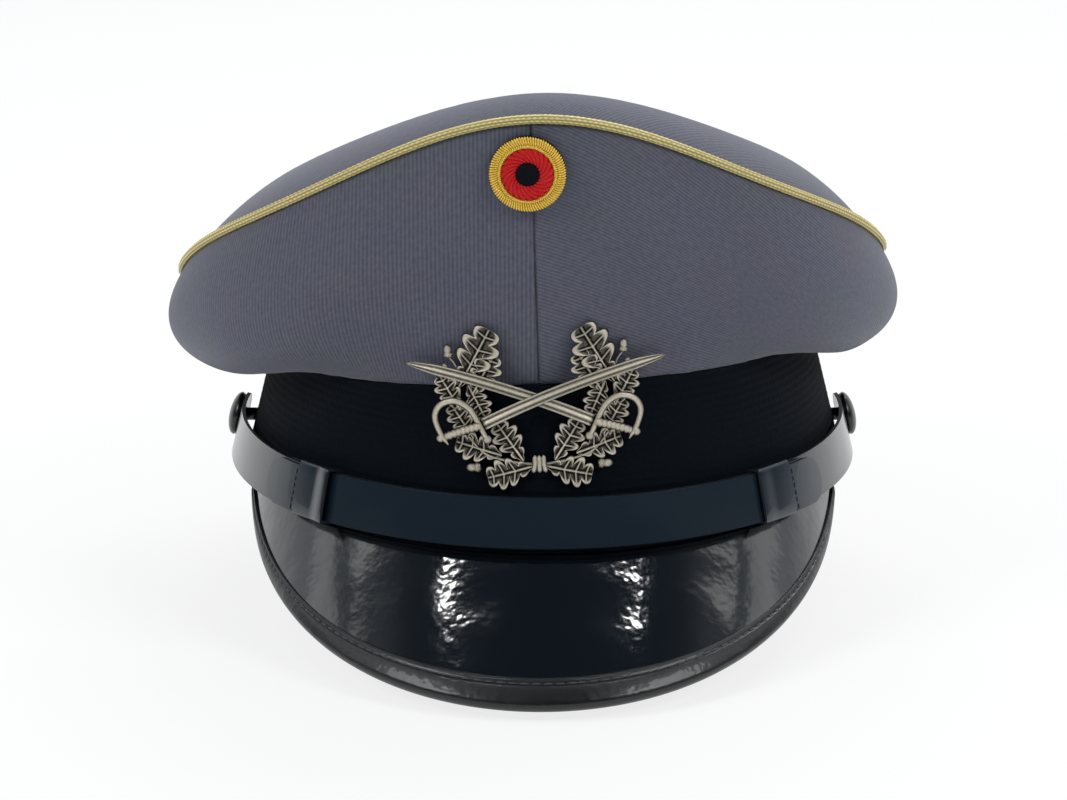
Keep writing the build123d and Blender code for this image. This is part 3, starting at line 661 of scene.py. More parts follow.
panel_reach, panel_rise = 100.0, 70.0  # how far a side panel lies from the middle, and its height
seam_sink, seam_half_width = 0.9, 0.45
front_seam_foot, front_seam_lean = 0.9, 1.3  # degrees to the left at its foot, and more towards its top
cloth_thickness = 1.1


def crowded(share):
    """The same share from 0 to 1, with a grid's columns crowded towards both ends."""
    return share - 0.8 * sin(2 * pi * share) / (2 * pi)


def quarter(name, node, first, last, material):
    """One quarter of the crown's side, turned in at its two seams."""
    def place(s, t):
        share = crowded(s)
        azimuth = first + (last - first) * share
        azimuth -= (front_seam_foot + front_seam_lean * t) * max(0.0, cos(radians(azimuth)))
        point = panel_point(azimuth, t)
        from_seam = min(share, 1 - share) * radians(last - first) * panel_reach
        turned_in = -seam_sink * exp(-((from_seam / seam_half_width) ** 2))
        return panel_point(azimuth, t, cloth_relief(point, azimuth, t) + turned_in)

    def flat(s, t):
        return radians(first + (last - first) * crowded(s)) * panel_reach * MM, t * panel_rise * MM

    piece = make_piece(mapped_grid(110, 60, place, flat), name, material, "cap", node, slot="crown_cloth")
    thicken(piece, cloth_thickness)


quarter("crown_front_left", "quarter_front_left", -90, 0, gabardine_straight)
quarter("crown_front_right", "quarter_front_right", 0, 90, gabardine_bias)
quarter("crown_rear_right", "quarter_rear_right", 90, 180, gabardine_straight)
quarter("crown_rear_left", "quarter_rear_left", 180, 270, gabardine_bias)


def disc_spot(s, t):
    """The unit square's point on the unit disc, so that the quads stay even."""
    x, y = 2 * s - 1, 2 * t - 1
    return x * sqrt(1 - y * y / 2), y * sqrt(1 - x * x / 2)


def domed_point(s, t, scale, inset, drop, sag):
    """A point on the crown's tip, or on a smaller dome that lies under it."""
    x, y = disc_spot(s, t)
    azimuth, share = degrees(atan2(x, -y)), min(hypot(x, y), 1)
    edge = rim(azimuth, scale)[0] - inset
    radius = edge * share
    height = rim(azimuth, scale * share)[1] + tip_swell(scale * share) - drop
    slow = noise.noise(Vector((x * 1.6, y * 1.6, 5.0))) * sag * (1 - share**4)
    return in_space(radius, azimuth, height + slow)


tip_half_width, tip_half_length = 112.0, 116.0


def tip_flat(s, t):
    x, y = disc_spot(s, t)
    return x * tip_half_width * MM, y * tip_half_length * MM


crown_top = make_piece(
    mapped_grid(
        120, 120,
        lambda s, t: domed_point(s, t, scale=1.0, inset=cord_radius + 0.45, drop=0.1, sag=1.0), tip_flat,
    ),
    "crown_top", gabardine_tip, "cap", "crown_tip", slot="crown_cloth",
)
thicken(crown_top, cloth_thickness)


# ---- Piping: a flat-braided cord round the rim ----
def rim_point(turn):
    radius, height = rim(turn)
    return in_space(radius, turn, height)


def rim_axes(turn):
    """The rim's point there, with the outward and upward directions across its line."""
    ahead = (rim_point(turn + 0.5) - rim_point(turn - 0.5)).normalized()
    outwards = in_space(1, turn, 0)
    outwards = (outwards - ahead * outwards.dot(ahead)).normalized()
    return rim_point(turn), outwards, outwards.cross(ahead) * -1


cord_turns = 420  # braid stitches round the rim: 1.55 mm each, coarser than the real 0.5 mm to show
cord_columns = 8
cord_sink, stitch_rise = 0.22, 0.3
cord_length, cord_girth = 650.0, 7.5


def braid_height(s, t):
    """Herringbone of a braid: slanting stitches that lean the other way in every second column."""
    column = t * cord_columns
    side = 1 if int(column) % 2 else -1
    across = column - int(column)
    stitch = (s * cord_turns + side * across * 0.5) % 1.0
    return sqrt(max(0.0, 1 - (2 * stitch - 1) ** 2)) * sqrt(max(0.0, 1 - (2 * across - 1) ** 4))


rim_steps = 720
rim_frames = [rim_axes(360 * step / rim_steps) for step in range(rim_steps + 1)]


def piping_point(s, t):
    position = s * rim_steps
    low = min(int(position), rim_steps - 1)
    share = position - low
    centre = rim_frames[low][0].lerp(rim_frames[low + 1][0], share)
    outwards = rim_frames[low][1].lerp(rim_frames[low + 1][1], share)
    upwards = rim_frames[low][2].lerp(rim_frames[low + 1][2], share)
    radius = cord_radius - cord_sink + stitch_rise * braid_height(s, t)
    angle = 2 * pi * t
    return centre + (outwards * cos(angle) + upwards * sin(angle)) * radius


def piping_flat(s, t):
    return s * cord_length * MM, t * cord_girth * MM


# The braid's height is also its relief, so the gilt thread paints shade between the stitches.
piping_bm = mapped_grid(cord_turns * 5, 24, piping_point, piping_flat, braid_height, closed=True)
bmesh.ops.recalc_face_normals(piping_bm, faces=piping_bm.faces)
make_piece(piping_bm, "rim_piping", gold_braid, "cap", "crown_piping", slot="gold_cord")

# ---- Band: ribbed braid round the stiffener ----
rib_pitch, rib_height, band_braid_thickness = 2.1, 0.35, 0.6


def band_point(s, t):
    azimuth = 360 * s
    height = seam_height(azimuth) * t
    rib = abs(sin(pi * height / rib_pitch)) ** 0.7
    return in_space(band_radius(height, rib_height - rib_height * rib, azimuth), azimuth, height)


band_bm = mapped_grid(240, 84, band_point, lambda s, t: (s * 0.6, t * 0.04), closed=True)
bmesh.ops.recalc_face_normals(band_bm, faces=band_bm.faces)
band = make_piece(band_bm, "band_braid", braid, "cap", "band_cover", slot="band_cloth")
thicken(band, band_braid_thickness)

# ---- Sweatband and lining ----
cover_thickness, cover_gap, stiffener_thickness, pocket_width = 1.0, 0.1, 1.3, 1.2
sweatband_inset = cover_thickness + cover_gap + stiffener_thickness + pocket_width + 0.4
sweatband_foot, sweatband_height, sweatband_thickness = 0.1, 32.7, 0.9
rolled_height, roll_depth = 1.6, 0.18


def sweatband_point(s, t):
    azimuth, height = 360 * s, sweatband_foot + sweatband_height * t
    wave = noise.noise(Vector((azimuth * 0.09, height * 0.05, 1.0))) * 0.25 * t
    roll = roll_depth * exp(-((height / rolled_height) ** 2))
    return in_space(band_radius(height, sweatband_inset + wave - roll, azimuth), azimuth, height)


sweat_bm = mapped_grid(200, 24, sweatband_point, lambda s, t: (s * 0.58, t * 0.033), closed=True)
bmesh.ops.recalc_face_normals(sweat_bm, faces=sweat_bm.faces)
sweatband = make_piece(sweat_bm, "leather_sweatband", sweat_leather, "cap", "sweatband", slot="sweat_leather")
thicken(sweatband, sweatband_thickness)

lining_scale, lining_drop, lining_thickness = 0.88, 9.0, 0.3
lining_foot_rise, lining_foot_inset, lining_seam_drop = 0.7, 4.1, 1.6
pleat_depth, pleats_per_turn = 0.5, 20


def lining_wall_point(first, last):
    def place(s, t):
        azimuth = first + (last - first) * s
        low_z = seam_height(azimuth) + lining_foot_rise
        low_r = band_radius(low_z, lining_foot_inset, azimuth)
        high_r, high_z = rim(azimuth, lining_scale)
        high_z += tip_swell(lining_scale) - lining_drop - lining_seam_drop
        pleat = abs(sin(radians(azimuth * pleats_per_turn / 2))) * pleat_depth * sin(pi * t)
        return in_space(low_r + (high_r - low_r) * t - pleat, azimuth, low_z + (high_z - low_z) * t)

    return place


for name, node, first, last in (
    ("lining_wall_right", "lining_side_right", 0, 180),
    ("lining_wall_left", "lining_side_left", 180, 360),
):
    wall = make_piece(
        mapped_grid(144, 16, lining_wall_point(first, last), lambda s, t: (s * 0.27, t * 0.05)),
        name, lining_satin, "cap", node, slot="lining",
    )
    thicken(wall, lining_thickness)

lining_top = make_piece(
    mapped_grid(
        60, 60,
        lambda s, t: domed_point(s, t, scale=lining_scale, inset=0.5, drop=lining_drop, sag=0.8), tip_flat,
    ),
    "lining_crown", lining_satin, "cap", "lining_tip", slot="lining",
)
thicken(lining_top, lining_thickness)

# ---- Visor: patent top, board, lining and the binding folded over the edge ----
visor_slope, visor_length, visor_half_angle = 40.85, 45.8, 70.6
visor_turn = Matrix.Rotation(radians(-0.6), 3, "Z")
patent_thickness, board_thickness, visor_lining_thickness = 0.8, 1.6, 0.5
visor_depth = patent_thickness + board_thickness + visor_lining_thickness
binding_width, binding_thickness, binding_fit = 7.0, 0.7, 0.05
stitch_inset, tucked_in = 4.9, 1.0  # the patent leather's rear edge goes up behind the braid
slope_down = Vector((0, -cos(radians(visor_slope)), -sin(radians(visor_slope))))
slope_up = Vector((0, -sin(radians(visor_slope)), cos(radians(visor_slope))))
arch_height = band_half_length * sin(radians(visor_slope))


def visor_point(angle, along, proud):
    """A point on the visor's top face at a ruling, some way down its slope, and proud of it."""
    root = Vector((band_half_width * sin(radians(angle)), -band_half_length * cos(radians(angle)), 0))
    outwards = Vector((sin(radians(angle)) / band_half_width, 0, 0))
    outwards += slope_up * (cos(radians(angle)) / arch_height)
    return visor_turn @ (root + slope_down * along + outwards.normalized() * proud)


visor_end, binding_end, stitches_end = 88, 82, 64  # how far round each one goes
board_start = 0.3


def visor_reach(angle):
    return visor_length * sqrt(max(0.0, 1 - (angle / visor_half_angle) ** 2))


def ruling(s, widest):
    """The angle of a ruling and the visor's length there, with s from 0 at the left to 1."""
    turn = radians(widest * (2 * s - 1))
    return visor_half_angle * sin(turn), visor_length * cos(turn)


def visor_layer(name, node, material, slot, top, thickness, start):
    """One layer of the visor, from start millimetres down its slope to its edge."""
    def place(s, t):
        angle, length = ruling(s, visor_end)
        return visor_point(angle, start + (length - start) * (1 - t), -top)

    layer = make_piece(mapped_grid(120, 30, place), name, material, "cap", node, slot=slot)
    thicken(layer, thickness)


top = 0.0
for name, node, material, slot, thickness, start in (
    ("visor_patent_top", "visor_patent", visor_patent, "patent_leather", patent_thickness, -tucked_in),
    ("visor_inner_board", "visor_board", leather_board, "visor_board", board_thickness, board_start),
    (
        "visor_under_lining", "visor_lining", lining_leather, "visor_lining", visor_lining_thickness,
        board_start,
    ),
):
    visor_layer(name, node, material, slot, top, thickness, start)
    top += thickness


groove_half_width, groove_depth, fold_bulge = 0.45, 0.4, 1.9
fold_edge, fold_swell = 0.85, 0.5  # height of the fold at its edges and of its back, in thicknesses


def binding_section(length):
    """The binding's section as (distance down the slope, height above the top face)."""
    inner = max(length - binding_width, 0.4)
    run = length - inner
    under = -visor_depth - binding_thickness
    section = []
    for step in range(21):
        u = step / 20
        from_seam = (length - inner - run * u - stitch_inset) / groove_half_width
        sunk = groove_depth * exp(-from_seam * from_seam) if length > binding_width else 0
        section.append((inner + run * u, binding_thickness * (fold_edge + fold_swell * sin(pi * u) - sunk)))
    middle, half = (binding_thickness * fold_edge + under) / 2, (binding_thickness * fold_edge - under) / 2
    for step in range(1, 8):
        bend = radians(90 - 22.5 * step)
        section.append((length + fold_bulge * cos(bend), middle + half * sin(bend)))
    section += [(length, under), (inner + run * 0.5, under), (inner, under)]
    section += [(inner, -visor_depth - binding_fit), (length + binding_fit, -visor_depth - binding_fit)]
    section += [(length + binding_fit, binding_fit), (inner, binding_fit)]
    return section + section[:1]


def binding_point(s, t):
    angle, length = ruling(s, binding_end)
    section = binding_section(length)
    along, height = section[round(t * (len(section) - 1))]
    return visor_point(angle, along, height)


def close_ends(bm):
    bmesh.ops.holes_fill(bm, edges=[edge for edge in bm.edges if edge.is_boundary], sides=0)
    bmesh.ops.recalc_face_normals(bm, faces=bm.faces)


binding_bm = mapped_grid(200, len(binding_section(40)) - 1, binding_point, closed=True)
close_ends(binding_bm)
make_piece(binding_bm, "visor_edge_binding", binding_patent, "cap", "visor_binding", slot="patent_leather")


def seam_path(inset, proud):
    """The stitch row's line along the binding, in steps of 0.4 degrees."""
    angles = [step * 0.4 for step in range(-round(stitches_end / 0.4), round(stitches_end / 0.4) + 1)]
    return [visor_point(angle, visor_reach(angle) - inset, proud) for angle in angles]


def stitch(bm, start, end, radius):
    """One thread stitch, as a stretched ball between two holes."""
    ahead = (end - start).normalized()
    turn = ahead.to_track_quat("X", "Z").to_matrix().to_4x4()
    middle = (start + end) / 2 * MM
    size = Matrix.Diagonal(((end - start).length / 2 * MM, radius * MM, radius * MM, 1))
    made = bmesh.ops.create_uvsphere(bm, u_segments=8, v_segments=6, radius=1.0)
    bmesh.ops.transform(bm, matrix=Matrix.Translation(middle) @ turn @ size, verts=made["verts"])


def stitch_row(bm, path, pitch, length, radius):
    """Stitches of one length at an even pitch along a fine path."""
    travelled, next_start = 0.0, 0.0
    start = None
    for here, there in zip(path, path[1:]):
        travelled += (there - here).length
        if start is None and travelled >= next_start:
            start = here
        if start is not None and (there - start).length >= length:
            stitch(bm, start, there, radius)
            start = None
            next_start += pitch


stitches = bmesh.new()
seam = seam_path(stitch_inset, binding_thickness * 0.95)
stitch_row(stitches, seam, pitch=3.1, length=2.3, radius=0.34)
make_piece(stitches, "visor_stitches", thread, "cap", slot="visor_lining")

# ---- Chin strap: two layers on an oval of tangent arcs, leaning inwards as the band does ----
strap_half_width, strap_half_length, shoulder_radius = 92.6, 108.4, 98.0
shoulder_start, shoulder_end = 26.0, 64.0
strap_bottom, strap_height, strap_thickness, strap_gap, strap_lean = 1.9, 13.0, 1.1, 0.1, band_taper
strap_middle = strap_bottom + strap_height / 2
lean_angle = atan2(strap_lean, 1)
sine_start, cosine_start = sin(radians(shoulder_start)), cos(radians(shoulder_start))
sine_end, cosine_end = sin(radians(shoulder_end)), cos(radians(shoulder_end))
length_left = strap_half_length - shoulder_radius * (cosine_start - cosine_end)
width_left = strap_half_width - shoulder_radius * (sine_end - sine_start)
balance = (1 - cosine_start) * (1 - sine_end) - cosine_end * sine_start
front_radius = (length_left * (1 - sine_end) - cosine_end * width_left) / balance
side_radius = ((1 - cosine_start) * width_left - length_left * sine_start) / balance
front_centre = Vector((0, front_radius - strap_half_length))
shoulder_centre = front_centre + (front_radius - shoulder_radius) * Vector((sine_start, -cosine_start))
side_centre = Vector((strap_half_width - side_radius, 0))


def strap_point(angle, depth, height):
    """A point that far inside the strap's outer face; the angle is negative on the left."""
    size = abs(angle)
    if size < shoulder_start:
        centre, radius = front_centre, front_radius
    elif size < shoulder_end:
        centre, radius = shoulder_centre, shoulder_radius
    else:
        centre, radius = side_centre, side_radius
    reach = radius - depth - strap_lean * (height - strap_bottom)
    x = centre.x + reach * sin(radians(size))
    return Vector((x if angle >= 0 else -x, centre.y - reach * cos(radians(size)), height))


def strap_radius(angle):
    if abs(angle) < shoulder_start:
        return front_radius
    return shoulder_radius if abs(angle) < shoulder_end else side_radius


def rounded_strip(first, last, half_height, round_first, round_last, depth):
    """place(s, t) for a strip of the oval whose chosen ends are half round."""
    share = 0.08

    def place(s, t):
        inset = 0.0
        if round_first and s < share:
            inset = 1 - s / share
        elif round_last and s > 1 - share:
            inset = 1 - (1 - s) / share
        low = first + (degrees(half_height / strap_radius(first)) if round_first else 0)
        high = last - (degrees(half_height / strap_radius(last)) if round_last else 0)
        if inset and s < 0.5:
            angle = first + (low - first) * (1 - sin(inset * pi / 2))
        elif inset:
            angle = last - (last - high) * (1 - sin(inset * pi / 2))
        else:
            start, stop = (share if round_first else 0), (1 - share if round_last else 1)
            angle = low + (high - low) * (s - start) / (stop - start)
        half = half_height * max(cos(inset * pi / 2), 0.02)
        return strap_point(angle, depth, strap_middle + half * (2 * t - 1))

    return place


def round_edges(piece, width):
    bevel = piece.modifiers.new("edges", "BEVEL")
    bevel.width = width * MM
    bevel.segments = 2
    bevel.limit_method = "ANGLE"
    bevel.harden_normals = True


button_y, button_z = 9.0, 8.5
strap_end = 90 + degrees(asin(button_y / side_radius)) + degrees(7.0 / side_radius)
tab_end, stitch_angle, mouth_angle = 62.0, 52.5, 44.3
inner_layer = strap_thickness + strap_gap
strap_edge_round = 0.15
for name, node, first, last, depth in (
    ("strap_outer_layer", "chin_strap_left", -strap_end, tab_end - 1.5, 0),
    ("strap_inner_layer", "chin_strap_right", 1.5 - tab_end, strap_end, inner_layer),
):
    strip = rounded_strip(first, last, strap_height / 2, True, True, depth)
    layer_bm = mapped_grid(220, 8, strip)
    layer = make_piece(layer_bm, name, strap_patent, "chin_strap", node, slot="patent_leather")
    layer.data.materials.append(lining_leather)
    thicken(layer, strap_thickness).material_offset_rim = 1
    round_edges(layer, strap_edge_round)

# ---- Slides: a loop with an open mouth and a rounded tab, sewn across ----
slide_wall, slide_play = 0.8, 0.15
loop_depth = strap_thickness * 2 + strap_gap + 2 * (slide_wall + slide_play)
loop_height = strap_height / cos(lean_angle) + 2 * (slide_wall + slide_play)
loop_middle = inner_layer + strap_thickness - loop_depth / 2 + slide_wall + slide_play


def loop_point(angle, around, flare):
    """A point on the loop's outside: a rounded rectangle leaning with the strap."""
    c, s = cos(around), sin(around)
    out = loop_depth / 2 * (1 if c > 0 else -1) * abs(c) ** 0.28
    rise = loop_height / 2 * (1 if s > 0 else -1) * abs(s) ** 0.28
    out += flare * smooth_step(-0.5, 1.0, out / (loop_depth / 2))
    height = strap_middle + rise * cos(lean_angle) + out * sin(lean_angle)
    return strap_point(angle, loop_middle - out * cos(lean_angle) * (1 + strap_lean**2), height)


for side, name, flare in ((-1, "left", 1.3), (1, "right", 0.45)):
    def loop_place(s, t):
        share = s if side < 0 else 1 - s
        angle = side * (stitch_angle + (mouth_angle - stitch_angle) * share)
        return loop_point(angle, 2 * pi * t, flare * smooth_step(0.55, 1.0, share))

    slide_bm = mapped_grid(28, 48, loop_place, closed=True)
    first, last = (-tab_end, -stitch_angle) if side < 0 else (stitch_angle, tab_end)
    strip = rounded_strip(first, last, strap_height / 2 - 0.2, side < 0, side > 0, -slide_play - slide_wall)
    merge_into(slide_bm, mapped_grid(40, 8, strip))
    slide_piece = make_piece(
        slide_bm, "strap_slide_" + name, strap_patent, "slide_" + name, "slide_" + name, slot="patent_leather"
    )
    slide_piece.data.materials.append(lining_leather)
    thicken(slide_piece, slide_wall).material_offset_rim = 1
    round_edges(slide_piece, strap_edge_round)
    seam = bmesh.new()
    seam_proud = -slide_play - slide_wall - 0.1
    seam_angle = side * (stitch_angle + 0.5)
    row = [strap_point(seam_angle, seam_proud, strap_middle - 6 + step * 0.1) for step in range(121)]
    stitch_row(seam, row, pitch=2.0, length=1.45, radius=0.22)
    make_piece(seam, "slide_stitches_" + name, thread, "slide_" + name, slot="patent_leather")

# ---- Side buttons: a domed head on the strap and a shank through to its clip ----
button_radius, button_top, button_rim, shank_radius = 6.5, 3.8, 1.2, 1.9


def turned(profile, seat, axis):
    """A profile of (radius, height) pairs turned into a solid that stands on seat along axis."""
    bm = bmesh.new()
    points = [bm.verts.new((radius, 0, height)) for radius, height in profile]
    edges = [bm.edges.new(pair) for pair in zip(points, points[1:])]
    bmesh.ops.spin(
        bm, geom=points + edges, cent=(0, 0, 0), axis=(0, 0, 1), dvec=(0, 0, 0), angle=2 * pi, steps=48,
        use_merge=True,
    )
    bmesh.ops.remove_doubles(bm, verts=bm.verts, dist=0.0001)
    bmesh.ops.recalc_face_normals(bm, faces=bm.faces)
    turn = axis.to_track_quat("Z", "Y").to_matrix().to_4x4()
    place = Matrix.Translation(seat * MM) @ turn @ Matrix.Scale(MM, 4)
    bmesh.ops.transform(bm, matrix=place, verts=bm.verts)
    return bm


for side, name, depth in ((-1, "left", 0), (1, "right", inner_layer)):
    seat_angle = side * (90 + degrees(asin(button_y / side_radius)))
    seat = strap_point(seat_angle, depth, button_z)
    normal = Vector((side, 0, strap_lean)).normalized()
    dome = [(0, button_top)]
    for step in range(1, 9):
        lean = radians(11.25 * step)
        dome.append((button_radius * sin(lean), button_rim + (button_top - button_rim) * cos(lean)))
    button_bm = turned(dome + [(button_radius - 0.5, 0.15), (0, 0.15)], seat, normal)
    low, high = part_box("button_" + name)
    inner_x = min(abs(low[0]), abs(high[0])) / MM
    shank_length = abs(seat.x) - inner_x + 1.0
    merge_into(
        button_bm,
        turned(
            [(0, 0), (shank_radius, 0), (shank_radius, shank_length), (0, shank_length)],
            Vector((side * inner_x, button_y, button_z)), Vector((side, 0, 0)),
        ),
    )
    make_piece(button_bm, "domed_button_" + name, black_lacquer, "cap", "button_" + name, slot="brass")

# ---- Cockade: rings of bullion wire on felt ----
def panel_radius(azimuth, height):
    low, high = 0.3, 1.0
    while high - low > 0.0005:
        middle = (low + high) / 2
        if panel_point(azimuth, middle).z < height:
            low = middle
        else:
            high = middle
    return Vector(panel_point(azimuth, low).xy).length


cockade_azimuth, cockade_z, cockade_proud = -2.6, 101.8, 0.45
reach_above, reach_below = (panel_radius(cockade_azimuth, cockade_z + rise) for rise in (8, -8))
panel_lean = (reach_above - reach_below) / 16
cockade_out = in_space(1, cockade_azimuth, -panel_lean).normalized()
cockade_right = Vector((0, 0, 1)).cross(cockade_out).normalized()
cockade_up = cockade_out.cross(cockade_right)
cockade_middle = in_space(panel_radius(cockade_azimuth, cockade_z), cockade_azimuth, cockade_z)
cockade_middle += cockade_out * cockade_proud


def on_cockade(radius, turn, height):
    """A point of the cockade: turn in degrees from its right, height above its back."""
    flat = cockade_right * (radius * cos(radians(turn))) + cockade_up * (radius * sin(radians(turn)))
    return cockade_middle + flat + cockade_out * height


def strand_tube(bm, points, radii, around=8):
    """A round strand through a few points, closed at its ends, with its shadowed foot marked."""
    relief = relief_of(bm)
    made = bmesh.ops.create_grid(bm, x_segments=len(points) - 1, y_segments=around, size=0.5)["verts"]
    for vert in made:
        position = (vert.co.x + 0.5) * (len(points) - 1)
        index = min(int(round(position)), len(points) - 1)
        angle = 2 * pi * (vert.co.y + 0.5)
        ahead = (points[min(index + 1, len(points) - 1)] - points[max(index - 1, 0)]).normalized()
        side = cockade_out.cross(ahead).normalized()
        share = index / (len(points) - 1)
        size = (radii[0] + (radii[1] - radii[0]) * share) * max(0.03, 1 - abs(2 * share - 1) ** 8)
        vert.co = (points[index] + (side * cos(angle) + cockade_out * sin(angle)) * size) * MM
        vert[relief] = max(0.0, sin(angle)) ** 1.6


def ring_of_strands(inner, outer, low, swirl, count, radii):
    """Strands laid side by side round a ring, each one leaning by swirl degrees."""
    bm = bmesh.new()
    for number in range(count):
        turn = 360 * number / count
        points = []
        for step in range(9):
            share = step / 8
            reach = inner + (outer - inner) * share
            height = low + 0.35 * sin(pi * share)
            points.append(on_cockade(reach, turn + swirl * share, height))
        strand_tube(bm, points, radii)
    bmesh.ops.remove_doubles(bm, verts=bm.verts, dist=weld)
    bmesh.ops.recalc_face_normals(bm, faces=bm.faces)
    return bm


gold_rings = ring_of_strands(inner=7.75, outer=10.3, low=1.7, swirl=4, count=88, radii=(0.3, 0.38))
merge_into(gold_rings, ring_of_strands(inner=6.9, outer=8.1, low=1.7, swirl=-6, count=84, radii=(0.28, 0.32)))
make_piece(gold_rings, "cockade_gold_bullion", gold_bullion, "cap", "cockade_gold_ring", slot="bullion_gold")
red_ring = ring_of_strands(inner=2.9, outer=7.2, low=1.6, swirl=50, count=23, radii=(0.46, 0.98))
make_piece(red_ring, "cockade_red_bullion", red_bullion, "cap", "cockade_red_ring", slot="bullion_red")

# ---- Badge ----
badge_tilt, badge_roll, badge_bend = radians(7.0), radians(2.0), 80.0
badge_out = Vector((0, -cos(badge_tilt), sin(badge_tilt)))
badge_lift = Vector((0, sin(badge_tilt), cos(badge_tilt)))
badge_right = Vector((cos(badge_roll), 0, 0)) + badge_lift * sin(badge_roll)
badge_up = badge_out.cross(badge_right)
badge_centre = Vector((-1.8, -98.6, 37.5))


def on_badge(x, y, height):
    """A point of the badge, which bends round the band: height is above its back."""
    bulge = sqrt((badge_bend + height) ** 2 - x * x) - badge_bend
    return badge_centre + badge_right * x + badge_up * y + badge_out * bulge


def close_back(bm, low):
    """Drop a skirt from the open edge of a relief to its flat back and close it."""
    edges = [edge for edge in bm.edges if edge.is_boundary]
    made = bmesh.ops.extrude_edge_only(bm, edges=edges)["geom"]
    relief = relief_of(bm)
    for vert in made:
        if isinstance(vert, bmesh.types.BMVert):
            vert.co = vert.co - badge_out * (low * MM)
            vert[relief] = 0.1
    close_ends(bm)


# Lobes of an oak leaf: (place along the leaf, half width, half length), as shares of its size.
leaf_base, leaf_arch, blade_share = 0.35, 0.15, 0.93  # its sides sweep on past the blade's share
oak_lobes = ((0.17, 0.26, 0.10), (0.39, 0.46, 0.125), (0.64, 0.50, 0.13), (0.87, 0.34, 0.13))


def leaf_half_width(along):
    widths = [0.17 * (1 - along) ** 0.5 * smooth_step(-0.1, 0.2, along) + 0.02]
    for centre, half_width, half_length in oak_lobes:
        widths.append(half_width * max(0.0, 1 - abs((along - centre) / half_length) ** 2.6) ** 0.5)
    return max(widths) if along < 1 else 0.0


def ridge(distance, width):
    return exp(-((distance / width) ** 2))


def leaf_height(along, across, width, length):
    """Relief of a leaf in millimetres: a rolled rim, a midrib and a vein out to each lobe."""
    rim_roll = 0.4 * ridge(abs(across) - 0.84, 0.15)
    half = leaf_half_width(along) * width
    midrib = 0.45 * ridge(across * half, 0.24) * (1 - 0.5 * along)
    veins = 0.0
    for centre, _, _ in oak_lobes[1:]:
        veins = max(veins, 0.28 * ridge((along - centre) * length, 0.22) * smooth_step(0.9, 0.6, abs(across)))
    edge = sqrt(max(0.0, 1 - abs(across) ** 10))
    return max(rim_roll, midrib, veins) * edge


def leaf_shade(along, across, width, length):
    """Polish of a leaf: bright on its ridges, grey between them, black beside the ribs and at its edge."""
    half = leaf_half_width(along) * width
    raised = min(1.0, leaf_height(along, across, width, length) / 0.34)
    beside = 0.42 * ridge(abs(across) * half - 0.5, 0.2) * (1 - 0.4 * along)
    for centre, _, _ in oak_lobes[1:]:
        groove = ridge(abs(along - centre) * length - 0.48, 0.17) * smooth_step(0.75, 0.5, abs(across))
        beside = max(beside, 0.34 * groove)
    edge = 0.55 * smooth_step(0.9, 1.0, abs(across))
    return max(0.0, 0.42 + 0.58 * raised - beside * (1 - raised) - edge)


def oak_leaf(bm, base, tip, width, low):
    """One oak leaf in relief from its stalk to its tip, in badge millimetres."""
    ahead = Vector(tip) - Vector(base)
    length = ahead.length
    ahead.normalize()
    side = Vector((-ahead.y, ahead.x))

    def spot(s, t):
        across = 2 * t - 1
        half = leaf_half_width(s) * width
        sweep = 0.5 * abs(across) * half * (1 - 0.7 * s)
        return Vector(base) + ahead * (s * length * blade_share + sweep) + side * (across * half)

    def place(s, t):
        x, y = spot(s, t)
        arch = leaf_arch * sin(pi * s)
        return on_badge(x, y, low + leaf_base + leaf_height(s, 2 * t - 1, width, length) + arch)

    def relief(s, t):
        return leaf_shade(s, 2 * t - 1, width, length)

    leaf = mapped_grid(72, 22, place, None, relief)
    close_back(leaf, low + 0.3)
    merge_into(bm, leaf)


def acorn(bm, x, y, heading, size, low):
    """An acorn in half relief: a smooth nut in a knobbly cup."""
    relief = relief_of(bm)
    ahead = Vector((cos(radians(heading)), sin(radians(heading))))
    for offset, long, wide, knobs in ((0.45, 1.25, 0.95, 0), (-0.75, 0.8, 1.1, 1)):
        made = bmesh.ops.create_uvsphere(bm, u_segments=20, v_segments=14, radius=1.0)["verts"]
        for vert in made:
            ball = vert.co.copy()
            bumps = 0.09 * knobs * (sin(9 * atan2(ball.y, ball.z)) * sin(12 * acos(max(-1, min(1, ball.x)))))
            stretch = 1 + bumps
            along = (offset + ball.x * long * stretch) * size
            across = ball.y * wide * size * stretch
            height = low + 0.5 + ball.z * wide * size * 0.75 * stretch
            spot = Vector((x, y)) + ahead * along + Vector((-ahead.y, ahead.x)) * across
            vert.co = on_badge(spot.x, spot.y, height) * MM
            vert[relief] = min(0.9, max(0.0, ball.z * 0.75 + 0.1 + bumps * 5))


# The branch on the right of the badge; the left one is its mirror image.
# Leaves: stalk and tip, width. They lie in pairs along the branch, with acorns between.
branch_leaves = (
    ((10.0, -11.8), (23.0, -7.6), 8.6),
    ((1.8, -14.9), (14.9, -18.0), 8.8),
    ((4.2, -13.4), (11.4, -2.6), 8.2),
    ((17.4, -7.0), (23.4, 2.6), 7.2),
    ((18.4, 7.4), (14.0, -1.8), 7.4),
    ((20.8, 0.6), (26.2, 10.4), 7.2),
    ((17.4, 4.6), (10.9, 15.8), 8.8),
    ((20.8, 7.0), (11.6, 23.2), 11.4),
)
branch_acorns = ((17.6, -14.9, 0, 1.25), (23.6, 16.4, 86, 1.15), (24.4, 11.8, 75, 0.9))
branch_line = (
    (1.5, -14.4), (8, -13.4), (14.5, -11.2), (19.2, -5.5),
    (20.8, 1.5), (20.6, 8.0), (21.6, 12.5), (23.4, 15.0),
)


